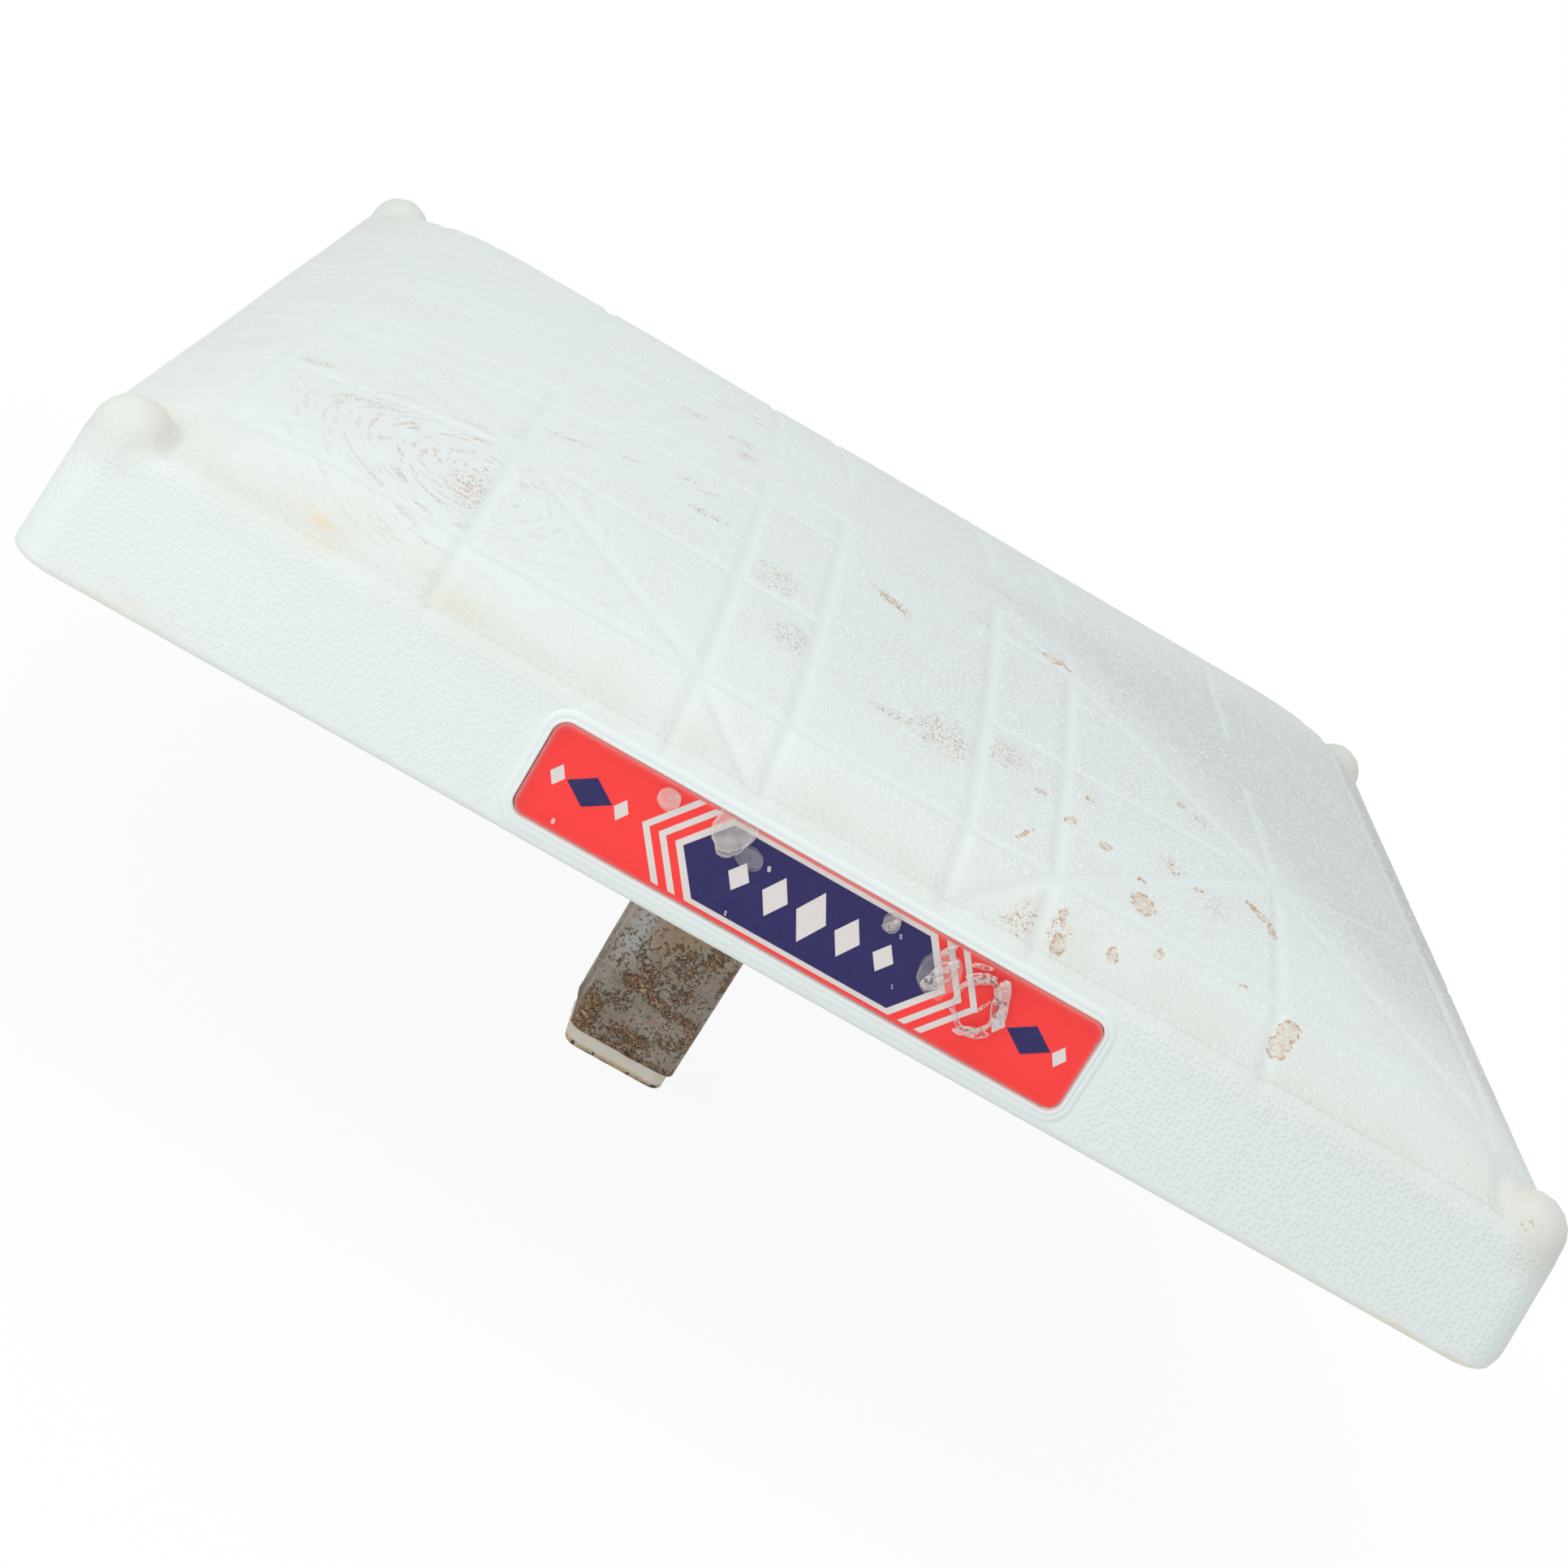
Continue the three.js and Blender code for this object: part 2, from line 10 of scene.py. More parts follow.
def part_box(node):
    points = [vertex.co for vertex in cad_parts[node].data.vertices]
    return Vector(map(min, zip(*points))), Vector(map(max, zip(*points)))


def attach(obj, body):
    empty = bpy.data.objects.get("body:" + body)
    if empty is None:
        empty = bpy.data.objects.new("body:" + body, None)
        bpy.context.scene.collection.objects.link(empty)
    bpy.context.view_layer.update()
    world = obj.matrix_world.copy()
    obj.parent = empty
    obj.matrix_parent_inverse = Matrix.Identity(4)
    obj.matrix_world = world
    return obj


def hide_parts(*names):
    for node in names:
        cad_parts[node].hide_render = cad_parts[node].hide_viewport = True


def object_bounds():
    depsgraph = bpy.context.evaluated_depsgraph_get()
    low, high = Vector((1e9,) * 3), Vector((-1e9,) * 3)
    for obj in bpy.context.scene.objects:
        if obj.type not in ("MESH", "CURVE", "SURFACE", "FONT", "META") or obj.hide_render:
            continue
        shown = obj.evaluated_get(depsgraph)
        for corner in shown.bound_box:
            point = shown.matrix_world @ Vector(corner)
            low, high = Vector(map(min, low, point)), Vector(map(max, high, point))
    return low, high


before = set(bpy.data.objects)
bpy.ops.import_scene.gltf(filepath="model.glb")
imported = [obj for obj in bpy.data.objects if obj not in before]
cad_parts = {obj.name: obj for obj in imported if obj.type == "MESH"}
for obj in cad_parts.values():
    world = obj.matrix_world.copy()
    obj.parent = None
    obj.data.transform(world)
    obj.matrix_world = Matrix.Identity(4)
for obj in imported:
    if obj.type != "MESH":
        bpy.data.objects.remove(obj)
cad_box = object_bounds()

# Cover
cover_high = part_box("rubber_cover")[1]
FOOT_HALF = cover_high.x
CROWN_TOP = cover_high.z
FOOT_CORNER = 0.012
FOOT_ROUND = 0.003
FOOT_TUCK = 0.002  # worn foot of the right wall
FOOT_TUCK_HEIGHT = 0.007
WALL_HEIGHT = 0.041
WALL_DRAFT = math.radians(4)
SHOULDER_RUN = 0.0265
SHOULDER_RISE = 0.0144
SHOULDER_ROUND = 0.005
CROWN_POWER = 1.7
CROWN_CORNER = 0.033
RUBBER = 0.009
WALL_TOP_HALF = FOOT_HALF - WALL_HEIGHT * math.tan(WALL_DRAFT)
BAND_HALF = WALL_TOP_HALF - SHOULDER_RUN
BAND_TOP = WALL_HEIGHT + SHOULDER_RISE
CROWN_RISE = CROWN_TOP - BAND_TOP
SHOULDER_SLOPE = math.hypot(SHOULDER_RUN, SHOULDER_RISE)
TOP_HALF = WALL_TOP_HALF - SHOULDER_ROUND * SHOULDER_RUN / SHOULDER_SLOPE
TOP_EDGE = WALL_HEIGHT + SHOULDER_ROUND * SHOULDER_RISE / SHOULDER_SLOPE
WAVE = 0.0004  # how far the moulded faces are out of true
WAVE_SCALE = 14

# Grip grooves
GROOVE_HALF = 0.0027
GROOVE_DEPTH = 0.0009
GROOVE_OFFSETS = (0.0277, 0.0553, 0.127)
GROOVE_START = GROOVE_OFFSETS[0]
BORDER_GROOVE = BAND_HALF - 0.002
CROSS_SUM = 2 * GROOVE_OFFSETS[2]  # |x| + |y| on the short diagonals

# Corner ears
EAR_RADIUS = 0.011
EAR_TOP = 0.0508
EAR_OFFSET = WALL_TOP_HALF - EAR_RADIUS - 0.0003
EAR_BLEND = 0.0016
MOAT_DEPTHS = {-1: 0.0025, 1: 0.0015}  # left and right of the nameplate
MOAT_RADIUS = 0.0128
MOAT_WIDTH = 0.0028
EAR_START = (0.036, 0.042)  # heights over which an ear swells out of the wall
EAR_FADE = (0.028, 0.036)  # and over which its cream tone and painted shade begin

# Relief and wear of the rubber, and the shoulder band of painted shade
GRAIN_DEPTH = 0.00046
PEBBLE_DEPTH = 0.00017
CRUMB_DEPTH = 0.0007
PEBBLE_PITCH = 0.0018
WALL_EDGE = (WALL_HEIGHT - 0.003, WALL_HEIGHT + 0.0025)  # where the wall's pebbles end
FRONT_BAND = (-0.19, -0.225)  # y over which the band above the nameplate begins
RIDGE_HEIGHT = 0.0435
RIDGE_WIDTH = 0.0028
# Band along the shoulder: painted shade where the lamps light it more than the wall and the top, with a
# faint cream tone
CREAM_AND_SHADE_HEIGHT = 0.0455
CREAM_AND_SHADE_WIDTH = 0.0085

# Facets of the cover
GRID_STEP = 0.0021
EDGE_STEP = 0.0012  # outside the border groove
WALL_STEP = 0.0024
ROUND_STEPS = 5
CROWN_RINGS = 5
TINY = 1e-9
QUARTERS = ((1, 1), (-1, 1), (-1, -1), (1, -1))  # signs of x and y

# Nameplate
PLATE_LENGTH = 0.1666
PLATE_HEIGHT = 0.0282
PLATE_CORNER = 0.004
PLATE_LIFT = 0.0064
PLATE_MIDDLE = PLATE_LIFT + PLATE_HEIGHT / 2 * math.cos(WALL_DRAFT)
POCKET_DEPTH = 0.0039
POCKET_MARGIN = 0.0012
PRINT_BACK = -0.0025
PRINT_FACE = -0.0015
LENS_BACK = -0.0012
LENS_FACE = 0.0008
INLAY = 0.00003
BORDER_WIDTH = 0.0012  # red left above and below the print's shapes
WHITE_FIELD = (0.0412, 0.0312)  # half lengths of a hexagon at its tips and at its shoulders
NAVY_FIELD = (0.0388, 0.0298)
CHEVRON_PLACES = (0.0362, 0.0412)
CHEVRON_SIZE = (0.0022, 0.01)
WHITE_DIAMONDS = (0.0575, 0.0765)
NAVY_DIAMOND = 0.067
MARK_PITCH = 0.011
PLATE_TURNS = 8
PLATE_PITCH = 0.004
FILM_TURNS = 48
FILM_LANES = 6
FILM_SKIN = 0.0001

# Section of its raised rim: way out from the plate and height above the wall
RIM_SECTION = (
    (0.0003, -0.002),
    (0.0003, 0.0007),
    (0.0005, 0.001),
    (0.0008, 0.0011),
    (0.0011, 0.001),
    (0.0013, 0.0007),
    (0.00145, 0.0006),
    (0.0017, 0.0007),
    (0.0021, 0.00078),
    (0.0026, 0.00072),
    (0.0031, 0.0005),
    (0.0035, 0.00015),
    (0.0038, -0.0003),
    (0.0038, -0.002),
)

# Post and plug
post_low, post_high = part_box("ground_post")
plug_low, plug_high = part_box("post_plug")
POST_LENGTH = -post_low.z
POST_TOP_HALF = 0.02125
POST_END_HALF = 0.02
POST_CORNER = 0.005
POST_WALL = 0.003
WELD_LEG = post_high.x - POST_TOP_HALF
POST_STEP = 0.0009
PLUG_HALF = POST_END_HALF - 0.00125
PLUG_EDGE = 0.0015
PLUG_FIT = 0.0003
PLUG_TOP = -POST_LENGTH - PLUG_FIT
PLUG_ROWS = 4
END_WASTE = 0.0011  # how far rust has eaten the tube's end
BEAD_TOP = -0.07  # rippled bead down the front left edge
BEAD_END = -0.105
BEAD_PITCH = 0.0042
BEAD_PLACE = (-0.019, -0.02)
BEAD_RADIUS = 0.0028
BEAD_FADE = 0.008
BEAD_LIFT = 0.0003
BEAD_RIPPLE = 0.0006
FLAKE_LIFT = 0.0004
BURR_LIFT = 0.0005
GOUGE_DEPTH = 0.0009
DENT_TOP = -0.103  # dented lower end of the same edge
DENT_DEPTH = 0.0005

# Photograph's camera
CAMERA_PLACE = (-0.1168, -1.0012, 0.2727)
CAMERA_YAW = math.radians(6.78)
CAMERA_PITCH = math.radians(16.02)
CAMERA_ROLL = math.radians(31.53)
CAMERA_LENS = 71.79

# Studio: a lamp's direction, distance, size and level
KEY_LAMP = ((-0.2, -0.28, 0.93), 1.5, 1.1, 0.3)
FRONT_LAMP = ((-0.5, -0.85, 0.28), 1.3, 1.0, 0.185)
AMBIENT = 0.64
FLOOR_HALF = 4.0
FLOOR_GAP = 0.0001
FLOOR_NEAR = 0.25  # from the middle, where the floor starts to turn plain white
FLOOR_FAR = 0.6
SHADE = 0.08  # share of its own shading in the floor under the base

# Colours, linear
WHITE_RUBBER = (0.79, 0.86, 0.85)
# Painted shade in the grip grooves, so their smooth floors are not lighter than the grain round them
GROOVE_SHADE_GREY = (0.66, 0.72, 0.725)
# Faint cream tone, and painted shade on the shoulder
CREAM_AND_SHADE = (0.735, 0.765, 0.7)
# Slight cream tone of the ears, and painted shade that keeps their lit domes from showing brighter than
# the wall
EAR_CREAM_AND_SHADE = (0.7, 0.7, 0.63)
TAN = (0.7, 0.56, 0.4)
RING_TAN = (0.52, 0.31, 0.18)
SOIL = (0.46, 0.25, 0.12)
# Grime, and painted shade of the grain's relief, in the lows of the top's grain
GRIME_AND_GRAIN_SHADE = (0.46, 0.485, 0.47)
TEA = (0.82, 0.68, 0.48)
PRINT_RED = (1.0, 0.038, 0.036)
PRINT_NAVY = (0.008, 0.006, 0.105)
PRINT_WHITE = (0.76, 0.72, 0.7)
MILK = (0.86, 0.8, 0.76)
FILM = (0.9, 0.83, 0.8)
ZINC = (0.32, 0.285, 0.235)
PALE_ZINC = (0.43, 0.39, 0.325)
BARE_ZINC = (0.6, 0.61, 0.61)
RUST_FILM = (0.43, 0.29, 0.185)
RUST = (0.3, 0.13, 0.05)
DARK_RUST = (0.03, 0.017, 0.011)
FLAKE_EDGE = (0.76, 0.58, 0.4)
PLUG_WHITE = (0.98, 0.95, 0.84)
PLUG_CREAM = (0.95, 0.87, 0.68)
PLUG_STAIN = (0.66, 0.47, 0.26)

# Pieces that keep their CAD shape: material, two colours, scale, roughness, relief and metal
PLAIN_LOOKS = {
    "core_board": ("ply_board", (0.42, 0.3, 0.17), (0.5, 0.37, 0.22), 60, 0.8, 0.0002),
    "sole_panel": ("sole_sheet", (0.6, 0.63, 0.6), (0.52, 0.52, 0.47), 40, 0.65, 0.0003),
    "nameplate_backing": ("backing_tape", (0.02, 0.02, 0.022), (0.03, 0.03, 0.03), 300, 0.9, 0.0002),
    "post_plate": ("plate_zinc", ZINC, RUST, 70, 0.6, 0.0004, 0.5),
}
FASTENER_LOOK = ("bright_zinc", (0.5, 0.5, 0.48), (0.4, 0.38, 0.34), 200, 0.35, 0.0001, 1.0)
FOAM_LOOK = ("cell_foam", (0.62, 0.57, 0.42), (0.7, 0.65, 0.5), 900, 0.95, 0.0006)
CAD_EDGE = 0.0004
FOAM_EDGE = 0.002

# Tables of soft spots give middle, half length, half width, turn in degrees and strength.
# Blots of dried soil on the top, by x and y
BLOTS = (
    (0.0822, -0.1865, 0.0043, 0.0056, 0, 1.2),
    (0.1309, -0.205, 0.0042, 0.0034, 60, 1.2),
    (0.1292, -0.2108, 0.0044, 0.0032, 75, 1.3),
    (0.1247, -0.1604, 0.0024, 0.0016, -40, 1.2),
    (0.1213, -0.154, 0.0085, 0.0017, -40, 1.1),
    (0.0612, -0.2185, 0.0022, 0.0041, 0, 1.1),
    (0.0765, -0.2125, 0.0021, 0.0031, 0, 1.1),
    (0.0597, -0.209, 0.0018, 0.0026, 0, 1.0),
    (0.0891, -0.204, 0.0017, 0.0023, 0, 1.0),
    (0.0577, -0.1612, 0.002, 0.0027, 0, 1.2),
    (0.0692, -0.1655, 0.002, 0.0027, 0, 1.2),
    (0.0474, -0.1545, 0.0017, 0.0022, 0, 1.15),
    (0.0631, -0.142, 0.0014, 0.0022, 0, 1.15),
    (0.1152, -0.198, 0.0013, 0.002, 0, 1.15),
    (0.0818, -0.1719, 0.0014, 0.002, 0, 1.15),
    (0.1001, -0.1597, 0.0019, 0.0015, 20, 1.1),
    (0.0939, -0.1103, 0.0021, 0.0016, 20, 1.1),
    (0.044, -0.185, 0.008, 0.0012, 65, 0.9),
    (0.0495, -0.046, 0.0085, 0.003, 15, 1.1),
    (0.0782, -0.0282, 0.0016, 0.0034, 0, 1.0),
    (-0.0082, -0.081, 0.0065, 0.0022, -40, 0.9),
)
# Specks of soil in the grain of the top, by x and y
SMEARS = (
    (-0.132, -0.171, 0.009, 0.012, 0, 1.0),
    (-0.1702, -0.1405, 0.01, 0.003, 15, 1.2),
    (-0.1905, -0.116, 0.007, 0.0035, 15, 1.2),
    (-0.118, -0.0915, 0.011, 0.0024, 8, 1.1),
    (-0.099, -0.084, 0.008, 0.0022, 10, 0.9),
    (-0.0856, 0.0215, 0.0055, 0.0075, 0, 1.0),
    (-0.0755, 0.056, 0.007, 0.006, 0, 0.9),
    (-0.0618, 0.055, 0.008, 0.007, 0, 0.8),
    (-0.0673, 0.0097, 0.0055, 0.008, 0, 1.0),
    (-0.0642, -0.0081, 0.005, 0.008, 0, 0.9),
    (-0.0761, -0.0772, 0.007, 0.005, 15, 1.2),
    (-0.0698, -0.0964, 0.009, 0.0028, 15, 1.1),
    (-0.044, -0.115, 0.012, 0.013, 0, 0.7),
    (-0.0354, -0.148, 0.008, 0.012, 0, 0.85),
    (-0.0082, -0.081, 0.009, 0.004, -40, 1.2),
    (0.015, -0.155, 0.013, 0.015, 0, 0.85),
    (-0.0009, -0.1595, 0.009, 0.003, 10, 1.0),
    (0.0211, -0.0512, 0.006, 0.003, -30, 1.0),
    (0.0329, -0.0021, 0.009, 0.005, 10, 0.7),
    (0.0352, -0.1441, 0.0085, 0.011, 0, 0.85),
    (0.0736, -0.0505, 0.004, 0.0024, 0, 1.0),
    (0.0925, -0.156, 0.01, 0.004, -60, 0.9),
    (0.056, -0.214, 0.009, 0.006, 0, 1.0),
    (0.049, -0.219, 0.006, 0.004, 0, 1.1),
    (0.106, -0.165, 0.007, 0.012, 0, 0.55),
    (0.2104, -0.2222, 0.0027, 0.0006, 46, 1.3),
    (0.101, -0.112, 0.006, 0.004, 20, 0.7),
)
SCUFF_MIDDLE = (-0.133, -0.16)
SCUFF_REACH = 0.08
SCUFF_PITCH = 0.0021
SCUFF_ARC = 0.38  # radians

# Stains on the front wall's upper edge and foot, by x and z
STAINS = (
    (-0.1615, 0.0455, 0.0037, 0.0013, 0, 0.95),
    (-0.158, 0.042, 0.004, 0.0013, 0, 0.5),
    (-0.121, 0.0445, 0.005, 0.0016, 0, 0.3),
    (0.16, 0.001, 0.022, 0.0012, 0, 0.35),
    (-0.195, 0.003, 0.016, 0.004, 0, 0.35),
    (0.195, 0.001, 0.012, 0.0014, 0, 0.8),
    (0.216, 0.001, 0.007, 0.0015, 0, 0.8),
    (-0.2108, 0.0482, 0.0022, 0.002, 0, 0.6),
)

# Flaking rust on the post's front, by x and z
RUST_PATCHES = (
    (-0.0078, -0.0968, 0.005, 0.003, 0, 1.0),
    (-0.004, -0.0972, 0.0055, 0.0025, -10, 1.0),
    (0.0036, -0.1, 0.007, 0.0022, -8, 0.9),
    (0.0131, -0.1008, 0.006, 0.0016, 0, 0.8),
    (-0.0004, -0.1153, 0.008, 0.0032, 0, 0.9),
    (-0.0178, -0.1147, 0.008, 0.004, 90, 1.4),
    (0.0114, -0.0761, 0.006, 0.003, 80, 0.8),
    (0.003, -0.0795, 0.007, 0.003, 10, 0.6),
    (-0.0108, -0.088, 0.0022, 0.002, 0, 0.8),
    (0.0056, -0.084, 0.006, 0.004, 30, 0.6),
    (0.0083, -0.0925, 0.005, 0.004, 60, 0.6),
    (-0.0101, -0.1055, 0.006, 0.004, 0, 0.55),
    (0.018, -0.1058, 0.006, 0.002, 90, 0.9),
    (0.0122, -0.111, 0.005, 0.002, 0, 0.7),
    (0.0185, -0.0813, 0.006, 0.0015, 90, 0.8),
    (-0.004, -0.09, 0.006, 0.004, 20, 0.5),
)
# Cracks and chips of the plug's front, by x and height
PLUG_CRACKS = (
    (-0.0152, 0.0014, 0.0017, 0.0006, 62, 1.3),
    (-0.0075, 0.0012, 0.0011, 0.0005, 50, 1.1),
    (-0.002, 0.0005, 0.002, 0.0005, 0, 1.0),
    (0.006, 0.001, 0.001, 0.0006, 70, 1.0),
    (0.016, 0.0009, 0.0016, 0.001, 0, 1.3),
)
GOUGE = ((0.0003, -0.0925, 0.0055, 0.0012, 12, 1.0),)
BROWN_FILM = ((-0.004, -0.073, 0.012, 0.008, 0, 1.0),)
BURR = ((0.0008, -0.0906, 0.0042, 0.0009, 35, 1.0),)

# Wear of the nameplate's clear coat, by x and y from its middle
PEELED_BUBBLE = (0.0497, 0.0018, 0.0066, 0.008, 0)
PEELED_SCRAPS = (
    (0.055, 0.0055, 0.0072, 0.0024, 109),
    (0.0471, 0.0089, 0.0042, 0.0017, 25),
    (0.052, -0.0053, 0.0046, 0.0015, 20),
    (0.037, 0.0038, 0.0062, 0.0026, 68),
    (0.0456, 0.0119, 0.0031, 0.0008, 16),
    (0.0356, 0.0112, 0.0026, 0.0011, 60),
    (0.0513, 0.0024, 0.0026, 0.0005, 68),
    (-0.0473, 0.0106, 0.0016, 0.0008, 30),
    (0.0193, 0.0098, 0.0022, 0.0012, 60),
    (0.018, 0.0084, 0.0013, 0.001, 10),
)
# Middle, half width, half height and milkiness of lifted coat
LIFTED_COAT = (
    (-0.0295, 0.0122, 0.0057, 0.0088, 0.36),
    (-0.0223, 0.006, 0.004, 0.0028, 0.14),
    (-0.0482, 0.0092, 0.0031, 0.0029, 0.34),
    (0.019, 0.0098, 0.0024, 0.0026, 0.3),
    (0.037, 0.004, 0.0056, 0.0066, 0.14),
)
NICKS = (
    (-0.0163, 0.0061, 0.0006),
    (-0.0202, -0.0101, 0.0004),
    (0.0279, -0.0053, 0.0003),
    (0.0229, 0.0077, 0.0004),
    (-0.0715, -0.0112, 0.0006),
    (-0.0322, -0.0089, 0.0003),
)


def smooth(low, high, value):
    """0 below low, 1 above high, with a soft turn between."""
    share = np.clip((value - low) / (high - low), 0, 1)
    return share * share * (3 - 2 * share)


def bell(distance, width):
    return np.exp(-((distance / width) ** 2))


def spots_share(first, second, spots):
    """The strongest of a table of soft spots at each point of two coordinates."""
    share = np.zeros(len(first))
    for middle_1, middle_2, length, width, turn, strength in spots:
        gap = (first - middle_1 + 1j * (second - middle_2)) * np.exp(-1j * math.radians(turn))
        share = np.maximum(share, strength * bell(gap.real, length) * bell(gap.imag, width))
    return share


def noise_at(points, scale, offset=0.0):
    """Smooth noise from -1 to 1 at each point."""
    shift = Vector((offset, offset * 1.7, offset * 2.3))
    return np.array([noise.noise(Vector(p) * scale + shift) for p in points])


def wall_half(z):
    return FOOT_HALF - z * math.tan(WALL_DRAFT)


def top_height(half):
    crown = CROWN_TOP - CROWN_RISE * (np.minimum(half, BAND_HALF) / BAND_HALF) ** CROWN_POWER
    band = BAND_TOP - SHOULDER_RISE * (half - BAND_HALF) / SHOULDER_RUN
    return np.where(half <= BAND_HALF, crown, band)


def top_corner(half):
    crown = CROWN_CORNER * half / BAND_HALF
    share = (half - BAND_HALF) / (TOP_HALF - BAND_HALF)
    band = CROWN_CORNER + (FOOT_CORNER - CROWN_CORNER) * share
    return np.where(half <= BAND_HALF, crown, band)


# Objects
def new_object(name, data):
    piece = bpy.data.objects.new(name, data)
    bpy.context.scene.collection.objects.link(piece)
    return piece


def make_object(name, points, faces, smooth_angle=None):
    mesh = bpy.data.meshes.new(name)
    mesh.from_pydata(np.asarray(points).tolist(), [], faces)
    mesh.validate()
    mesh.shade_smooth()
    if smooth_angle is not None:
        mesh.set_sharp_from_angle(angle=math.radians(smooth_angle))
    return new_object(name, mesh)


def paint(piece, name, values):
    """Stores a number or a vector for each vertex."""
    values = np.asarray(values, np.float32)
    kind, field = ("FLOAT", "value") if values.ndim == 1 else ("FLOAT_VECTOR", "vector")
    store = piece.data.attributes.new(name, kind, "POINT")
    store.data.foreach_set(field, values.ravel())


def dress(piece, material, slot, *nodes):
    """Gives a piece its material and body, and hides the CAD nodes that it stands for; its slot is not
    used.
    """
    piece.data.materials.append(material)
    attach(piece, "root")
    if nodes:
        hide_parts(*nodes)


def between(first, second):
    """Quads between two closed rows of vertex indices, or between several such pairs."""
    quads = np.stack([first, second, np.roll(second, -1, -1), np.roll(first, -1, -1)], axis=-1)
    return quads.reshape(-1, 4).tolist()


def loft(rings, ring=False):
    """Points and faces through rings of equal count, capped or joined from the last to the first."""
    index = np.arange(len(rings) * len(rings[0])).reshape(len(rings), -1)
    faces = between(index[:-1], index[1:])
    faces += between(index[-1], index[0]) if ring else [index[0].tolist(), index[-1, ::-1].tolist()]
    return np.concatenate(rings), faces


def joined(parts):
    """Points and faces of several parts as one."""
    points, faces = [], []
    for part_points, part_faces in parts:
        faces += [[len(points) + i for i in face] for face in part_faces]
        points += list(part_points)
    return points, faces


# Cover
def grid_lines():
    """Grid lines across the top, closer together over the grooves that run along them."""
    stops = [0.0]
    for offset in (*GROOVE_OFFSETS, BORDER_GROOVE):
        stops += [offset + share * GROOVE_HALF for share in (-1, -0.5, 0, 0.5, 1)]
    stops.append(TOP_HALF)
    lines = [0.0]
    for low, high in zip(stops, stops[1:]):
        step = GRID_STEP if high < TOP_HALF else EDGE_STEP
        count = max(1, math.ceil((high - low) / step))
        lines += [low + (high - low) * (i + 1) / count for i in range(count)]
    half = np.array(lines)
    return np.concatenate([-half[:0:-1], half])


def ring_point(u, v, corner_from, half, corner):
    """Plan point on a rounded square, for a point (u, v) of a square grid's ring."""
    reach = np.maximum(np.abs(u), np.abs(v))
    along = np.minimum(np.abs(u), np.abs(v))
    flat = reach - corner_from
    turn = np.clip((along - flat) / np.maximum(corner_from, TINY), 0, 1) * math.pi / 4
    straight = np.minimum(along / np.maximum(flat, TINY), 1)
    major = half - corner + corner * np.cos(turn)
    minor = straight * (half - corner) + corner * np.sin(turn)
    wide = np.abs(u) >= np.abs(v)
    x = np.where(wide, major, minor) * np.sign(u)
    y = np.where(wide, minor, major) * np.sign(v)
    return x, y


def outer_profile():
    """(half, corner, z) of the rings from just under the top's edge to the foot's edge."""
    profile = []
    below = WALL_HEIGHT - SHOULDER_ROUND
    for step in range(1, ROUND_STEPS + 1):
        t = step / ROUND_STEPS
        weights = ((1 - t) ** 2, 2 * t * (1 - t), t**2)
        half = np.dot(weights, (TOP_HALF, WALL_TOP_HALF, wall_half(below)))
        profile.append((half, FOOT_CORNER, np.dot(weights, (TOP_EDGE, WALL_HEIGHT, below))))
    rows = math.ceil((below - FOOT_ROUND) / WALL_STEP)
    for row in range(1, rows + 1):
        z = below + (FOOT_ROUND - below) * row / rows
        profile.append((wall_half(z), FOOT_CORNER, z))
    for step in range(1, ROUND_STEPS + 1):
        turn = step / ROUND_STEPS * math.pi / 2
        half = FOOT_HALF - FOOT_ROUND * (1 - math.cos(turn))
        profile.append((half, FOOT_CORNER, FOOT_ROUND * (1 - math.sin(turn))))
    return profile


def inner_profile():
    """(half, corner, z) of the hollow's rings, from the foot up to near the crown's middle."""
    corner = FOOT_CORNER - RUBBER
    top = WALL_TOP_HALF - RUBBER
    profile = [(FOOT_HALF - RUBBER, corner, 0.0), (top, corner, float(top_height(top)) - RUBBER)]
    for ring in range(CROWN_RINGS):
        half = BAND_HALF * (1 - ring / CROWN_RINGS)
        profile.append((half, float(top_corner(half)), float(top_height(half)) - RUBBER))
    return profile


def top_faces(lines, index):
    """Quads of the top's grid, each folded along the slanting groove that may cross it."""
    quads = np.stack([index[:-1, :-1], index[1:, :-1], index[1:, 1:], index[:-1, 1:]], axis=-1)
    middles = (lines[1:] + lines[:-1]) / 2
    u, v = np.meshgrid(middles, middles, indexing="ij")
    on_diagonal = np.abs(np.abs(u) - np.abs(v)) < 2 * GROOVE_HALF
    rising = on_diagonal == (u * v > 0)
    quads = np.where(rising[..., None], quads, np.roll(quads, -1, axis=-1))
    return quads.reshape(-1, 4).tolist()


def cover_mesh():
    """Points and faces of the closed shell, and the counts of top points, ring points and outer rings."""
    lines = grid_lines()
    count = len(lines)
    u, v = (axis.ravel() for axis in np.meshgrid(lines, lines, indexing="ij"))
    half = np.maximum(np.abs(u), np.abs(v))
    corner = top_corner(half)
    x, y = ring_point(u, v, corner, half, corner)
    rows = [np.column_stack([x, y, top_height(half)])]
    index = np.arange(count * count).reshape(count, count)
    faces = top_faces(lines, index)
    edge = np.concatenate([index[:-1, 0], index[-1, :-1], index[:0:-1, -1], index[0, :0:-1]])
    around = len(edge)
    before = edge
    total = count * count
    outer = outer_profile()
    for half, corner, z in outer + inner_profile():
        x, y = ring_point(u[edge], v[edge], FOOT_CORNER, half, corner)
        rows.append(np.column_stack([x, y, np.full(around, z)]))
        ring = total + np.arange(around)
        faces += between(before, ring)
        before = ring
        total += around
    rows.append(np.array([[0, 0, CROWN_TOP - RUBBER]]))
    faces += [(a, total, b) for a, b in zip(before.tolist(), np.roll(before, -1).tolist())]
    return np.concatenate(rows), faces, count * count, around, len(outer)


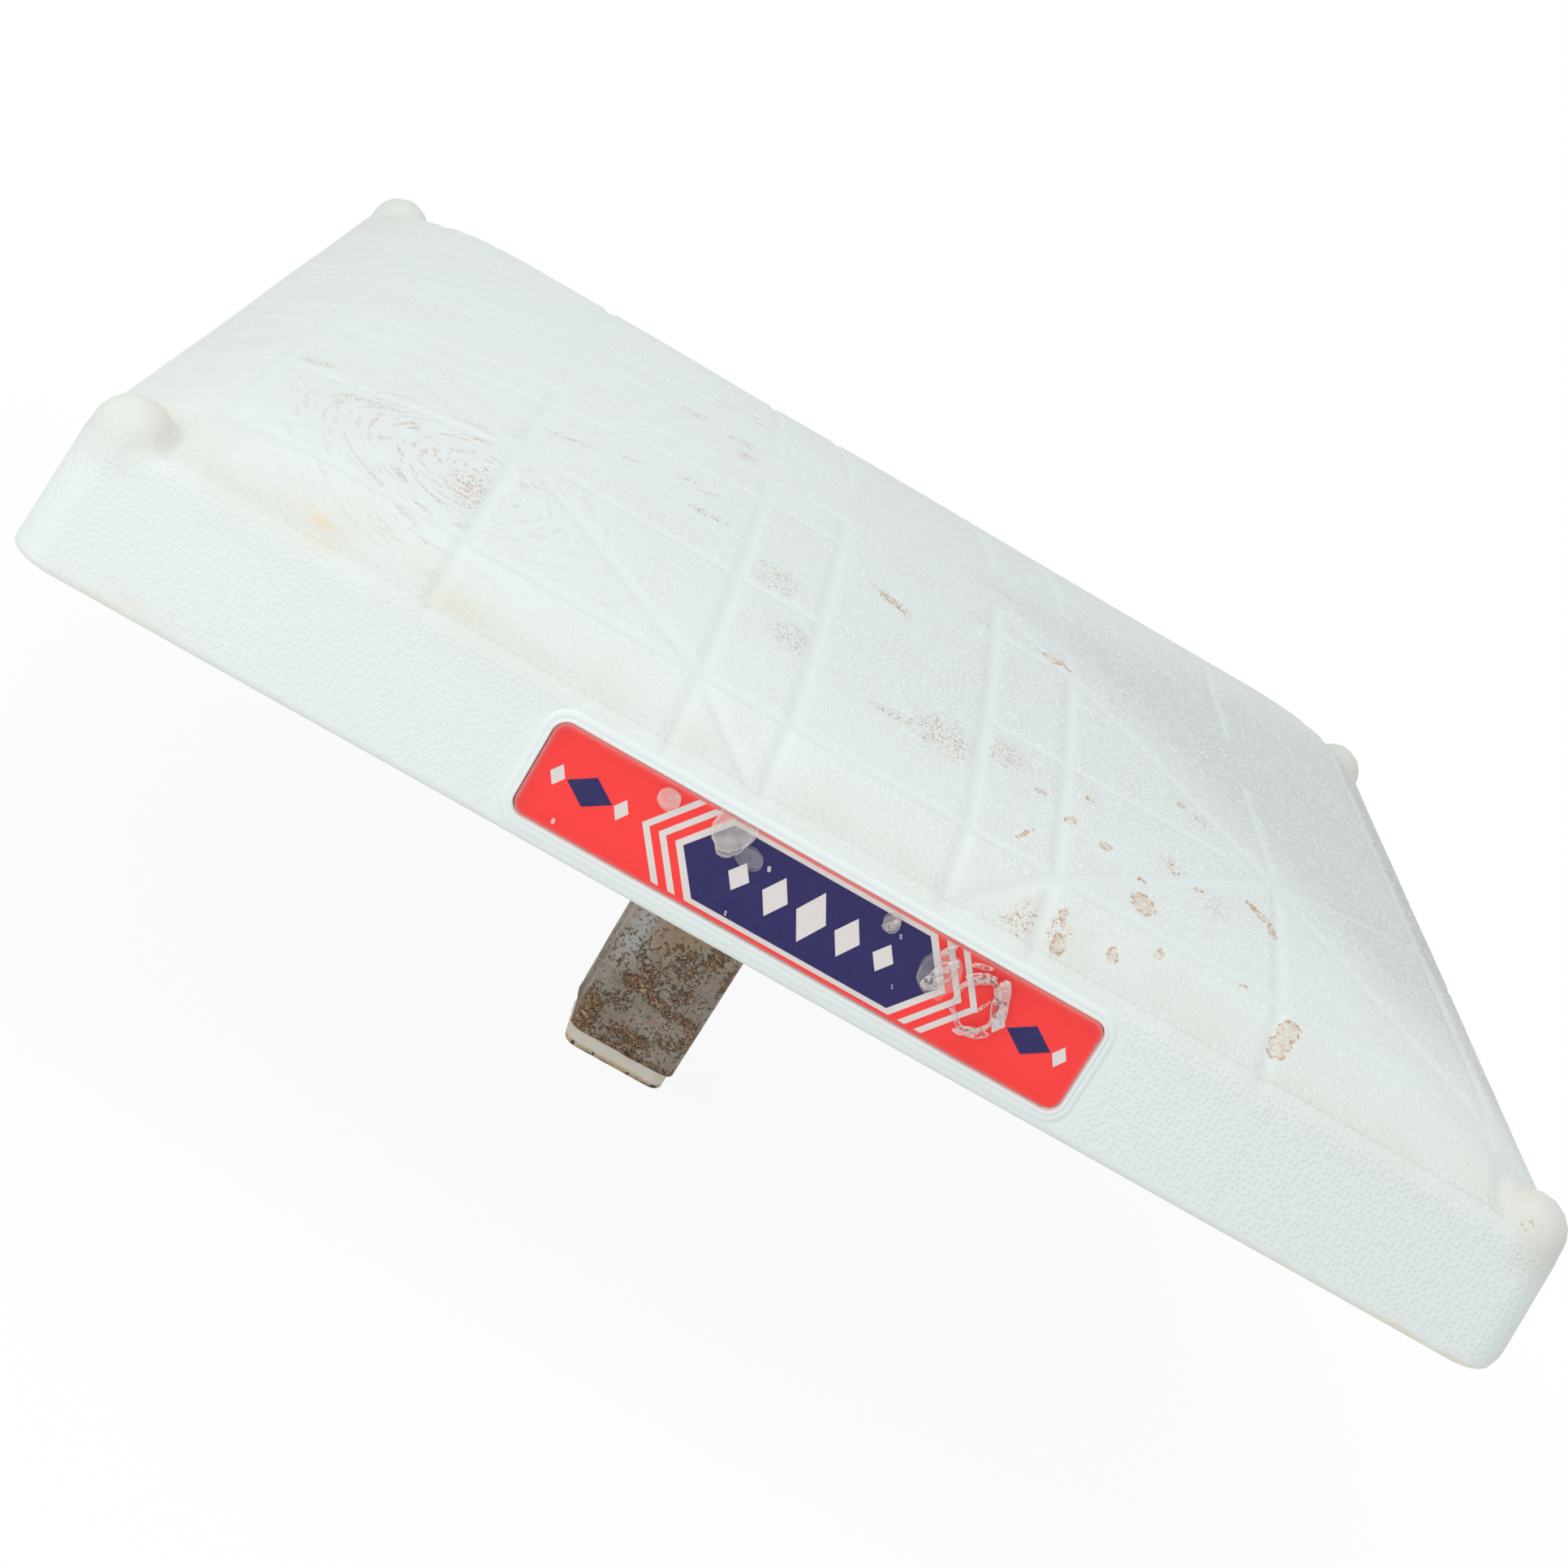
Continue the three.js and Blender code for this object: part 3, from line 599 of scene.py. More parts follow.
def wall_places(walls):
    """Way round the cover from its front left corner, and height, for the rings of wall points."""
    rows, around, _ = walls.shape
    ring = walls[rows // 2, :, :2]
    steps = np.linalg.norm(np.roll(ring, -1, axis=0) - ring, axis=1)
    along = np.cumsum(steps) - steps[0]
    along = np.where(along > along[-1] / 2, along - along[-1], along)
    return np.stack([np.tile(along, (rows, 1)), walls[:, :, 2], np.zeros((rows, around))], axis=-1)


def groove_share(x, y):
    """1 in the middle of a grip groove and 0 beside it."""
    ax, ay = np.abs(x), np.abs(y)
    gaps = []
    for offset in GROOVE_OFFSETS:
        gaps.append(np.hypot(ax - offset, np.maximum(GROOVE_START - ay, 0)))
        gaps.append(np.hypot(ay - offset, np.maximum(GROOVE_START - ax, 0)))
    gaps.append(np.abs(np.maximum(ax, ay) - BORDER_GROOVE))
    middle = (ax + ay) / 2
    past = np.maximum(GROOVE_START - middle, middle - BORDER_GROOVE)
    gaps.append(np.hypot((ax - ay) / math.sqrt(2), np.maximum(past, 0) * math.sqrt(2)))
    gaps.append(np.abs(ax + ay - CROSS_SUM) / math.sqrt(2))
    gap = np.minimum.reduce(gaps)
    return 1 - smooth(0.25 * GROOVE_HALF, GROOVE_HALF, gap)


def plate_distance(points):
    """Distance from the nameplate's outline, negative inside it, for points on the front wall."""
    local = np.column_stack([points[:, 0], (points[:, 2] - PLATE_MIDDLE) / math.cos(WALL_DRAFT)])
    over = np.abs(local) - np.array([PLATE_LENGTH, PLATE_HEIGHT]) / 2 + PLATE_CORNER
    outside = np.hypot(*np.maximum(over, 0).T)
    inside = np.minimum(over.max(axis=1), 0)
    distance = outside + inside - PLATE_CORNER
    return np.where(points[:, 1] < -BAND_HALF, distance, 1.0)


def raise_ears(points):
    """Pushes the points out of the four corner ears, and sinks a moat along their inner side."""
    shaped = points.copy()
    share = np.zeros(len(points))
    for sx, sy in QUARTERS:
        middle = np.array([sx, sy]) * EAR_OFFSET
        plan = points[:, :2] - middle
        away = np.hypot(*plan.T)
        inward = -(plan @ np.array([sx, sy])) / np.maximum(away, TINY) / math.sqrt(2)
        moat = MOAT_DEPTHS[sx] * bell(away - MOAT_RADIUS, MOAT_WIDTH) * smooth(-0.35, 0.4, inward)
        above = points[:, 2] > WALL_HEIGHT - SHOULDER_ROUND
        shaped[:, 2] -= np.where(above, moat, 0)
        axis_z = np.minimum(shaped[:, 2], EAR_TOP - EAR_RADIUS)
        arm = np.column_stack([shaped[:, :2] - middle, shaped[:, 2] - axis_z])
        reach = np.linalg.norm(arm, axis=1)
        near = np.maximum(EAR_BLEND - np.abs(reach - EAR_RADIUS), 0) * smooth(*EAR_START, points[:, 2])
        wanted = np.maximum(reach, EAR_RADIUS) + near**2 / (4 * EAR_BLEND)
        move = (reach < EAR_RADIUS + EAR_BLEND) & above
        factor = np.where(move, wanted / np.maximum(reach, TINY), 1)
        shaped += arm * (factor - 1)[:, None]
        dome = 1 - smooth(EAR_RADIUS, EAR_RADIUS + 0.003, reach)
        share = np.maximum(share, dome * smooth(*EAR_FADE, points[:, 2]))
    return shaped, share


def rubber_layers(x, y, z, groove, ears, rim_gap):
    """Shares of relief, wear, dirt and painted shade at each point of the cover's outside."""
    wall = 1 - smooth(*WALL_EDGE, z)
    front = smooth(*FRONT_BAND, y)
    bare = (1 - wall) * (1 - groove) * (1 - 0.9 * ears)
    pebble = wall * smooth(0.0012, 0.004, z) * smooth(0.003, 0.007, rim_gap)
    pebble *= (1 - ears * smooth(*EAR_START, z)) * (0.65 + 0.35 * smooth(-0.15, 0.2, x))
    # Most worn right of the middle and on the right band, least above the nameplate; on the right
    # shoulder's slope, from its middle back, painted shade is added
    wear_and_shade = 0.2 + 0.28 * smooth(-0.15, 0.05, x) + 0.38 * smooth(0.0, 0.08, x - np.abs(y))
    wear_and_shade *= (1 - 0.35 * smooth(-0.12, -0.19, y)) * (1 - (0.5 + 0.3 * smooth(0.1, 0.2, x)) * front)
    # Painted shade on the right shoulder's slope, which turns away from the lamps
    wear_and_shade += 0.5 * smooth(BAND_HALF - 0.006, BAND_HALF, x) * smooth(-0.1, -0.04, y)
    ridge = bell(z - RIDGE_HEIGHT, RIDGE_WIDTH) * (0.35 + 0.65 * front) * (1 - ears) + 0.5 * ears
    # Painted shade along the shoulder, strongest on the front band, with a faint cream tone; at the foot a
    # thin cream line
    shoulder_cream_and_shade = 0.6 + (0.4 - 0.2 * smooth(-0.12, -0.04, x)) * front
    foot_cream = 1 - smooth(0.0003, 0.0028, z)
    return {
        # Grooves greyed as painted shade, more where the top is more worn
        "groove": groove * (0.05 + 0.85 * wear_and_shade),
        "pebble": pebble,
        "grain_and_shade": bare * wear_and_shade,
        "bare": bare,
        "ridge": ridge,
        "cream_and_shade": np.maximum(shoulder_cream_and_shade * bell(z - CREAM_AND_SHADE_HEIGHT, CREAM_AND_SHADE_WIDTH), 0.7 * foot_cream),
        # Painted shade on the ears, darker on the right ear, which stands in shade
        "ear_cream_and_shade": ears * (1 + 0.8 * smooth(0, 0.2, x)),
        "blots": spots_share(x, y, BLOTS) * (1 - wall),
        "smears": spots_share(x, y, SMEARS) * np.maximum(bare, ears),
        "stain": np.where(y < -BAND_HALF, spots_share(x, z, STAINS), 0),
    }


def rubber_cover(material):
    points, faces, top_count, around, rows = cover_mesh()
    outer = top_count + around * rows
    skin = points[:outer]
    x, y, z = skin.T.copy()
    on_top = smooth(WALL_HEIGHT - SHOULDER_ROUND, WALL_HEIGHT, z)
    groove = groove_share(x, y) * on_top
    wave = WAVE * noise_at(skin, WAVE_SCALE)
    outward = np.column_stack([x, y]) / np.maximum(np.hypot(x, y), TINY)[:, None]
    skin[:, 2] += wave * on_top - GROOVE_DEPTH * groove
    skin[:, :2] += outward * (wave * (1 - on_top))[:, None]
    skin[:, 0] -= FOOT_TUCK * (1 - smooth(0, FOOT_TUCK_HEIGHT, z)) * smooth(BAND_HALF, WALL_TOP_HALF, x)
    shaped, ears = raise_ears(skin)
    rim_gap = plate_distance(shaped)
    places = np.zeros((len(points), 3))
    places[top_count:outer] = wall_places(shaped[top_count:].reshape(rows, around, 3)).reshape(-1, 3)
    shaped[rim_gap < POCKET_MARGIN, 1] += POCKET_DEPTH
    points[:outer] = shaped
    piece = make_object("cover", points, faces)
    paint(piece, "wall_place", places)
    layers = rubber_layers(x, y, z, groove, ears, rim_gap)
    layers["pebble"] *= np.abs(places[:outer, 0]) < places[:, 0].max() - 2 * GRID_STEP  # none on the seam
    for name, values in layers.items():
        paint(piece, name, np.concatenate([values, np.zeros(len(points) - outer)]))
    dress(piece, material, "rubber", "rubber_cover")


# Shader nodes
class Value:
    """What a shader node works out at each point of a surface."""

    def __init__(self, socket):
        self.socket = socket
        self.tree = socket.id_data

    def math(self, operation, other):
        return add(self.tree, "Math", {0: self, 1: other}, operation=operation)

    def __add__(self, other):
        return self.math("ADD", other)

    def __sub__(self, other):
        return self.math("SUBTRACT", other)

    def __mul__(self, other):
        return self.math("MULTIPLY", other)

    def largest(self, other):
        return self.math("MAXIMUM", other)

    def rise(self, low, high, top=1.0):
        """0 below low and top above high, with a soft turn between."""
        inputs = {"Value": self, "From Min": low, "From Max": high, "To Max": top}
        return add(self.tree, "MapRange", inputs, interpolation_type="SMOOTHSTEP")

    def contour(self, width):
        """Thin lines where the value passes through one half."""
        return (self - 0.5).math("ABSOLUTE", 0.0).rise(width, 0.0)


def new_material(name):
    material = bpy.data.materials.new(name)
    material.use_nodes = True
    return material, material.node_tree


def fill(node, values):
    """Links values to a node's inputs, by their name or number, or sets them there as constants."""
    for name, value in values.items():
        if isinstance(value, Value):
            value.tree.links.new(value.socket, node.inputs[name])
        else:
            node.inputs[name].default_value = value


def add(tree, kind, inputs=None, output=0, **settings):
    """One output of a new shader node with these inputs and settings."""
    node = tree.nodes.new("ShaderNode" + kind)
    for name, value in settings.items():
        setattr(node, name, value)
    fill(node, inputs or {})
    return Value(node.outputs[output])


def coats(colour, *layers):
    """A colour under layers of (share, colour)."""
    colour = (*colour, 1)
    for share, over in layers:
        colour = add(share.tree, "Mix", {0: share, 6: colour, 7: (*over, 1)}, 2, data_type="RGBA")
    return colour


def vector_math(tree, operation, first, second):
    return add(tree, "VectorMath", {0: first, 1: second}, operation=operation)


def length(vector):
    return add(vector.tree, "VectorMath", {0: vector}, "Value", operation="LENGTH")


def place(tree):
    return add(tree, "TexCoord", output="Object")


def painted(tree, name):
    """A number that paint() stored."""
    return add(tree, "Attribute", output="Fac", attribute_name=name)


def cloud(tree, scale, detail=2.0, roughness=0.5, distortion=0.0, vector=None):
    inputs = {"Vector": vector or place(tree), "Scale": scale, "Detail": detail}
    return add(tree, "TexNoise", {**inputs, "Roughness": roughness, "Distortion": distortion}, "Fac")


def surface(material, values, height=None, depth=0.0):
    """Gives a material its shader's values and, from a height, relief of this depth."""
    if height:
        values["Normal"] = add(height.tree, "Bump", {"Height": height, "Distance": depth})
    fill(material.node_tree.nodes["Principled BSDF"], values)
    return material


def scuff_arcs(tree):
    """Broken arcs left by a turning cleat, round one place on the top."""
    middle = (*SCUFF_MIDDLE, float(top_height(max(map(abs, SCUFF_MIDDLE)))))
    inward = vector_math(tree, "SUBTRACT", middle, place(tree))
    gap = length(inward)
    x, y = (add(tree, "SeparateXYZ", {0: inward}, axis) for axis in "XY")
    sweep = {"X": y.math("ARCTAN2", x) * (1 / SCUFF_ARC), "Y": gap * (1 / SCUFF_PITCH)}
    strokes = cloud(tree, 1.0, vector=add(tree, "CombineXYZ", sweep))
    heavier = x.rise(-0.012, 0.002, 0.65) + 0.35
    return strokes.rise(0.51, 0.64) * gap.rise(SCUFF_REACH, 0.0, 0.82) * heavier * painted(tree, "bare")


def wall_pebbles(tree):
    """Small domes set evenly over the walls."""
    where = add(tree, "Attribute", output="Vector", attribute_name="wall_place")
    inputs = {"Vector": where, "Scale": 1 / PEBBLE_PITCH, "Randomness": 0.6}
    return add(tree, "TexVoronoi", inputs, "Distance", voronoi_dimensions="2D").rise(0.44, 0.1)


def dirt(tree):
    """Coats of dirt: tan blots with darker outlines and threads, and fine specks in the grain."""
    ragged = cloud(tree, 280, 4, roughness=0.6) * 1.8 + 0.1
    blots = ragged * painted(tree, "blots")
    outline = blots.rise(0.41, 0.51) - blots.rise(0.58, 0.75)
    threads = cloud(tree, 520, distortion=1.0).contour(0.06) * blots.rise(0.46, 0.56)
    broken = cloud(tree, 600, 3).rise(0.4, 0.55)
    dashes = cloud(tree, 1250, distortion=1.2)
    smears = (ragged * painted(tree, "smears")).rise(0.22, 0.8)
    specks = smears * dashes.rise(0.55, 0.61, 0.92)
    scuffs = scuff_arcs(tree) * (dashes.rise(0.46, 0.57, 0.85) + 0.1)
    return (
        (blots.rise(0.41, 0.65, 0.36), TAN),
        (outline.largest(threads) * broken * 0.9, RING_TAN),
        (specks.largest(scuffs), SOIL),
    )


def rubber_material():
    material, tree = new_material("worn_white_rubber")
    worms = cloud(tree, 900, 1.5, roughness=0.45, distortion=0.5)
    # Share of grain on the top, which also carries painted shade on the right shoulder's slope
    grain_and_shade = painted(tree, "grain_and_shade")
    pebbles = wall_pebbles(tree) * painted(tree, "pebble") * PEBBLE_DEPTH
    crumbs = cloud(tree, 620, 3, roughness=0.6) * painted(tree, "ridge") * CRUMB_DEPTH
    height = worms.rise(0.42, 0.58) * grain_and_shade * GRAIN_DEPTH + pebbles + crumbs
    low = worms.rise(0.5, 0.42)
    dusty = cloud(tree, 28, 4).rise(0.42, 0.66)
    mottle = cloud(tree, 60, 3).rise(0.3, 0.65, 0.5) + 0.4
    streaks = cloud(tree, 200, 4).rise(0.25, 0.6, 0.8)
    colour = coats(
        WHITE_RUBBER,
        # The grain's lows darkened: grime, and painted shade of the grain's relief
        (low * grain_and_shade * 0.32, GRIME_AND_GRAIN_SHADE),
        (low * dusty * painted(tree, "bare") * 0.16, TAN),
        # Painted shade in the grooves
        (painted(tree, "groove"), GROOVE_SHADE_GREY),
        # Painted shade and a faint cream tone along the shoulder, and a cream line at the foot
        (mottle * painted(tree, "cream_and_shade"), CREAM_AND_SHADE),
        # Cream tone and painted shade on the ears
        (painted(tree, "ear_cream_and_shade") * 0.3, EAR_CREAM_AND_SHADE),
        (streaks * painted(tree, "stain"), TEA),
        *dirt(tree),
    )
    return surface(material, {"Base Color": colour, "Roughness": 0.6}, height, 1.0)


def rim_material():
    material, tree = new_material("rim_rubber")
    colour = coats(WHITE_RUBBER, (cloud(tree, 90, 4).rise(0.55, 0.85, 0.4), CREAM_AND_SHADE))
    return surface(material, {"Base Color": colour, "Roughness": 0.62}, cloud(tree, 700), 0.00005)


# Nameplate
NAMEPLATE = Matrix.Translation((0, -wall_half(PLATE_MIDDLE), PLATE_MIDDLE)) @ Matrix.Rotation(
    math.pi / 2 - WALL_DRAFT, 4, "X"
)


def plate_ring(margin, z):
    """Points of the nameplate's outline, grown by a margin, at one height, counter-clockwise."""
    width, height = PLATE_LENGTH / 2 + margin, PLATE_HEIGHT / 2 + margin
    radius = max(PLATE_CORNER + margin, 0.0004)
    points = []
    for quarter, (sx, sy) in enumerate(QUARTERS):
        centre = np.array([sx * (width - radius), sy * (height - radius), z])
        for step in range(PLATE_TURNS + 1):
            angle = (quarter + step / PLATE_TURNS) * math.pi / 2
            points.append(centre + radius * np.array([math.cos(angle), math.sin(angle), 0]))
    filled = []
    for here, there in zip(points, points[1:] + points[:1]):
        straight = PLATE_LENGTH if abs(here[1] - there[1]) < TINY else PLATE_HEIGHT
        gap = abs(here - there).max()
        pieces = round((straight - 2 * PLATE_CORNER) / PLATE_PITCH) if gap > PLATE_PITCH else 1
        filled += [here + (there - here) * i / pieces for i in range(pieces)]
    return np.array(filled)


def on_plate(points):
    """Points of the nameplate's own frame, in the part's frame."""
    turned = np.array(NAMEPLATE.to_3x3()) @ np.asarray(points).T
    return turned.T + np.array(NAMEPLATE.translation)


def nameplate_rim(material):
    """Raised rim in two soft steps: a narrow bead beside the plate and a ledge round it."""
    points, faces = loft([plate_ring(margin, z) for margin, z in RIM_SECTION], ring=True)
    points = on_plate(points)
    points[:, 1] += 0.00012 * noise_at(points, 90)
    dress(make_object("nameplate_rim", points, faces, 60), material, "rubber")


def plate_piece(name, profile):
    """Closed plate through (margin, z) rings, from its face to its back."""
    points, faces = loft([plate_ring(margin, z) for margin, z in profile])
    return make_object(name, on_plate(points), faces, 40)


def inlay(name, shapes, floor, material):
    """Flat shapes of one colour, each a list of plan points, laid on the print."""
    levels = (floor + INLAY, floor)
    points, faces = joined(loft([[(x, y, z) for x, y in shape] for z in levels]) for shape in shapes)
    dress(make_object(name, on_plate(points), faces, 30), material, "print")


def diamond(x, width, height):
    return [(x + width, 0), (x, height), (x - width, 0), (x, -height)]


def hexagon(tip, shoulder, height):
    upper = [(tip, 0), (shoulder, height), (-shoulder, height)]
    return upper + [(-x, -y) for x, y in upper]


def chevron(x, side, width, reach, height):
    """A slim arrow whose tip points away from the middle."""
    front = [(x, -height), (x + side * reach, 0), (x, height)]
    shape = front + [(u - side * width, v) for u, v in reversed(front)]
    return shape if side > 0 else shape[::-1]


def print_material(name, ink):
    material, tree = new_material(name)
    faded = tuple(0.9 * c + 0.05 for c in ink)
    colour = coats(ink, (cloud(tree, 140, 5).rise(0.55, 0.9, 0.15), faded))
    return surface(material, {"Base Color": colour, "Roughness": 0.22, "Specular IOR Level": 0.22})


def nameplate_print():
    """Red film with a navy hexagon between chevrons, and diamonds along its middle."""
    inks = {"print_red": PRINT_RED, "print_white": PRINT_WHITE, "print_navy": PRINT_NAVY}
    red, white, navy = (print_material(*ink) for ink in inks.items())
    back = plate_piece("print_film", ((0, PRINT_FACE), (0, PRINT_BACK)))
    dress(back, red, "print", "nameplate_print")
    border = PLATE_HEIGHT / 2 - BORDER_WIDTH
    whites = [hexagon(*WHITE_FIELD, border)]
    navies = [hexagon(*NAVY_FIELD, border - 0.0014)]
    for side in (-1, 1):
        whites += [chevron(side * x, side, *CHEVRON_SIZE, border) for x in CHEVRON_PLACES]
        whites += [diamond(side * x, 0.0022, 0.0032) for x in WHITE_DIAMONDS]
        navies.append(diamond(side * NAVY_DIAMOND, 0.0068, 0.0045))
    row = [MARK_PITCH * step for step in range(-2, 3)]
    marks = [diamond(x, 0.0045 - 0.06 * abs(x), 0.0078 - 0.16 * abs(x)) for x in row]
    inlay("print_white_field", whites, PRINT_FACE, white)
    inlay("print_navy_field", navies, PRINT_FACE + INLAY, navy)
    inlay("print_white_marks", marks, PRINT_FACE + 2 * INLAY, white)


def ellipse_gap(tree, x, y, width, height):
    """Share of the way from a place on the nameplate to an ellipse round it: 1 on the ellipse."""
    away = vector_math(tree, "SUBTRACT", place(tree), NAMEPLATE @ Vector((x, y, 0)))
    return length(vector_math(tree, "MULTIPLY", away, (1 / width, 0, 1 / height)))


def lens_material():
    """Clear coat with milky places where it has lifted, each with a paler outline, and nicks."""
    material, tree = new_material("clear_lens")
    ragged = cloud(tree, 240, 3) * 0.45
    scratches = cloud(tree, 260, 4, distortion=0.6).rise(0.3, 0.7)
    milk = cloud(tree, 420, 5, roughness=0.7).rise(0.68, 0.82, 0.12)
    for x, y, width, height, strength in LIFTED_COAT:
        gap = ellipse_gap(tree, x, y, width, height) + ragged
        veil = gap.rise(1.26, 1.18) * (scratches * 0.5 + 0.5) * strength
        outline = (gap - 0.68).contour(0.07) * (0.6 * strength)
        milk = milk.largest(veil + outline)
    for x, y, radius in NICKS:
        gap = ellipse_gap(tree, x, y, radius, radius) + ragged
        milk = milk.largest(gap.rise(1.3, 0.9, 0.6))
    # The milky border is a painted highlight along the lens's rounded edge
    alpha = milk.largest(painted(tree, "border").rise(0.0, 1.0, 0.3)) + 0.012
    values = {"Base Color": (*MILK, 1), "Alpha": alpha, "Roughness": 0.12}
    return surface(material, values, scratches * milk, 0.0005)


def nameplate_lens():
    """Clear plate with a soft edge; each ring also has its share of a milky border, a painted highlight
    along the rounded edge.
    """
    rings = (
        (-0.0025, LENS_FACE, 0.0),
        (-0.0012, LENS_FACE - 0.0001, 0.2),
        (-0.0006, LENS_FACE - 0.0003, 0.5),
        (-0.0002, LENS_FACE - 0.0007, 1.0),
        (0, LENS_FACE - 0.0012, 0.8),
        (0, LENS_BACK + 0.0003, 0.6),
        (-0.0002, LENS_BACK, 0.0),
    )
    piece = plate_piece("lens", [ring[:2] for ring in rings])
    paint(piece, "border", np.repeat([ring[2] for ring in rings], len(piece.data.vertices) // len(rings)))
    dress(piece, lens_material(), "lens", "nameplate_lens")


def film_material():
    material, tree = new_material("peeled_film")
    folds = cloud(tree, 330, 3, distortion=1.2)
    edge = painted(tree, "border") * 0.45
    veil = folds.rise(0.42, 0.68, 0.4) + folds.contour(0.035) * 0.45 + edge + 0.05
    values = {"Base Color": (*FILM, 1), "Alpha": veil.math("MINIMUM", 0.92), "Roughness": 0.2}
    return surface(material, values, folds, 0.0012)


def film_patch(x, y, half_length, half_width, turn, inner):
    """Points and faces of a crumpled elliptical scrap with a hole of this share, lane by lane."""
    angle = np.arange(FILM_TURNS) / FILM_TURNS * 2 * math.pi
    cos, sin = np.cos(angle), np.sin(angle)
    edge = np.column_stack([2.2 * cos + 90 * x, 2.2 * sin, np.full(FILM_TURNS, 90 * y)])
    share = np.linspace(0, 1, FILM_LANES)[:, None]
    reach = (inner + (1 - inner) * share) * (1 + 0.22 * noise_at(edge, 1))
    turned = reach * (half_length * cos + 1j * half_width * sin) * np.exp(1j * math.radians(turn))
    # The third number first picks a slice of noise and then becomes the height
    points = np.column_stack([x + turned.real.ravel(), y + turned.imag.ravel(), np.full(turned.size, 0.2)])
    lift = 0.0003 + 0.0006 * np.sin(share * math.pi) + 0.0006 * noise_at(points, 600).reshape(reach.shape)
    points[:, 2] = LENS_FACE + np.maximum(lift, 0.00005).ravel()
    index = np.arange(len(points)).reshape(FILM_LANES, FILM_TURNS)
    return points, between(index[:-1], index[1:])


def peeled_film(material):
    """Crumpled scraps of the clear coat: one round a burst bubble, the rest as they tore off."""
    patches = [film_patch(*PEELED_BUBBLE, 0.8)]
    patches += [film_patch(*scrap, 0.02) for scrap in PEELED_SCRAPS]
    points, faces = joined(patches)
    piece = make_object("peeled_film", on_plate(points), faces)
    lanes = [1.0] + [0.0] * (FILM_LANES - 2) + [1.0]
    paint(piece, "border", np.tile(np.repeat(lanes, FILM_TURNS), len(patches)))
    piece.modifiers.new("thickness", "SOLIDIFY").thickness = FILM_SKIN
    dress(piece, material, "lens")


# Post and plug
def square_ring(half, corner, z):
    """Points of a rounded square, counter-clockwise, with one count for all sizes."""
    sides = round(2 * (POST_TOP_HALF - POST_CORNER) / POST_STEP)
    turns = round(POST_CORNER * math.pi / 2 / POST_STEP)
    flat = half - corner
    run = [(half, flat * (2 * i / sides - 1)) for i in range(sides)]
    for step in range(turns):
        turn = step / turns * math.pi / 2
        run.append((flat + corner * math.cos(turn), flat + corner * math.sin(turn)))
    points = []
    for _ in range(4):
        points += [(x, y, z) for x, y in run]
        run = [(-y, x) for x, y in run]
    return np.array(points)


def post_material():
    """Grey zinc under a brown film, with fine flakes of rust, tan where they curl and dark between."""
    material, tree = new_material("rusty_zinc")
    flakes = cloud(tree, 650, 5, roughness=0.65, distortion=0.6)
    lying = vector_math(tree, "MULTIPLY", place(tree), (1, 1, 1.7))
    curls = cloud(tree, 680, 3, roughness=0.6, distortion=1.6, vector=lying)
    patches = cloud(tree, 130, 4, roughness=0.6)
    stained = cloud(tree, 170, 6, roughness=0.75) + painted(tree, "film") * 0.2
    rusty = (painted(tree, "rust") * 0.36 + patches * 0.35 + flakes * 1.1).rise(0.82, 0.96)
    pits = (rusty + 0.16) * curls.rise(0.46, 0.39)
    colour = coats(
        ZINC,
        (patches.rise(0.35, 0.65), PALE_ZINC),
        (stained.rise(0.46, 0.62, 0.7), RUST_FILM),
        (painted(tree, "bare"), BARE_ZINC),
        (rusty * 0.8, RUST),
        (rusty * curls.rise(0.53, 0.59), FLAKE_EDGE),
        (pits * 0.85, DARK_RUST),
    )
    values = {"Base Color": colour, "Roughness": rusty * 0.3 + 0.5, "Metallic": 0.1}
    return surface(material, values, (curls + flakes) * (rusty * 0.8 + 0.15), 0.0007)


def post_bead(points):
    """Share of the bead down the front left edge, and its ripple, at each point."""
    x, y, z = points.T
    edge = points * (0, 0, 1)
    bead = bell(np.hypot(x - BEAD_PLACE[0], y - BEAD_PLACE[1]), BEAD_RADIUS)
    bead *= smooth(BEAD_END, BEAD_END + BEAD_FADE, z) * (1 - smooth(BEAD_TOP - BEAD_FADE, BEAD_TOP, z))
    bead *= 0.65 + 0.5 * noise_at(edge, 190, 4.0)
    return bead, np.sin(2 * math.pi * (z / BEAD_PITCH + 0.4 * noise_at(edge, 150, 2.0)))


def post_mesh():
    """Points and faces of the tube, and the indices of its outside below the weld."""
    depths = np.linspace(WELD_LEG, POST_LENGTH, math.ceil((POST_LENGTH - WELD_LEG) / POST_STEP))
    bore = POST_CORNER - POST_WALL
    rings = [square_ring(POST_TOP_HALF + WELD_LEG, POST_CORNER + WELD_LEG, 0)]
    halves = np.interp(depths, (0, POST_LENGTH), (POST_TOP_HALF, POST_END_HALF))
    rings += [square_ring(half, POST_CORNER, -depth) for half, depth in zip(halves, depths)]
    rings.append(square_ring(POST_END_HALF - POST_WALL, bore, -POST_LENGTH))
    rings.append(square_ring(POST_TOP_HALF - POST_WALL, bore, 0))
    count = len(rings[0])
    return *loft(rings, ring=True), np.arange(count, (1 + len(depths)) * count)


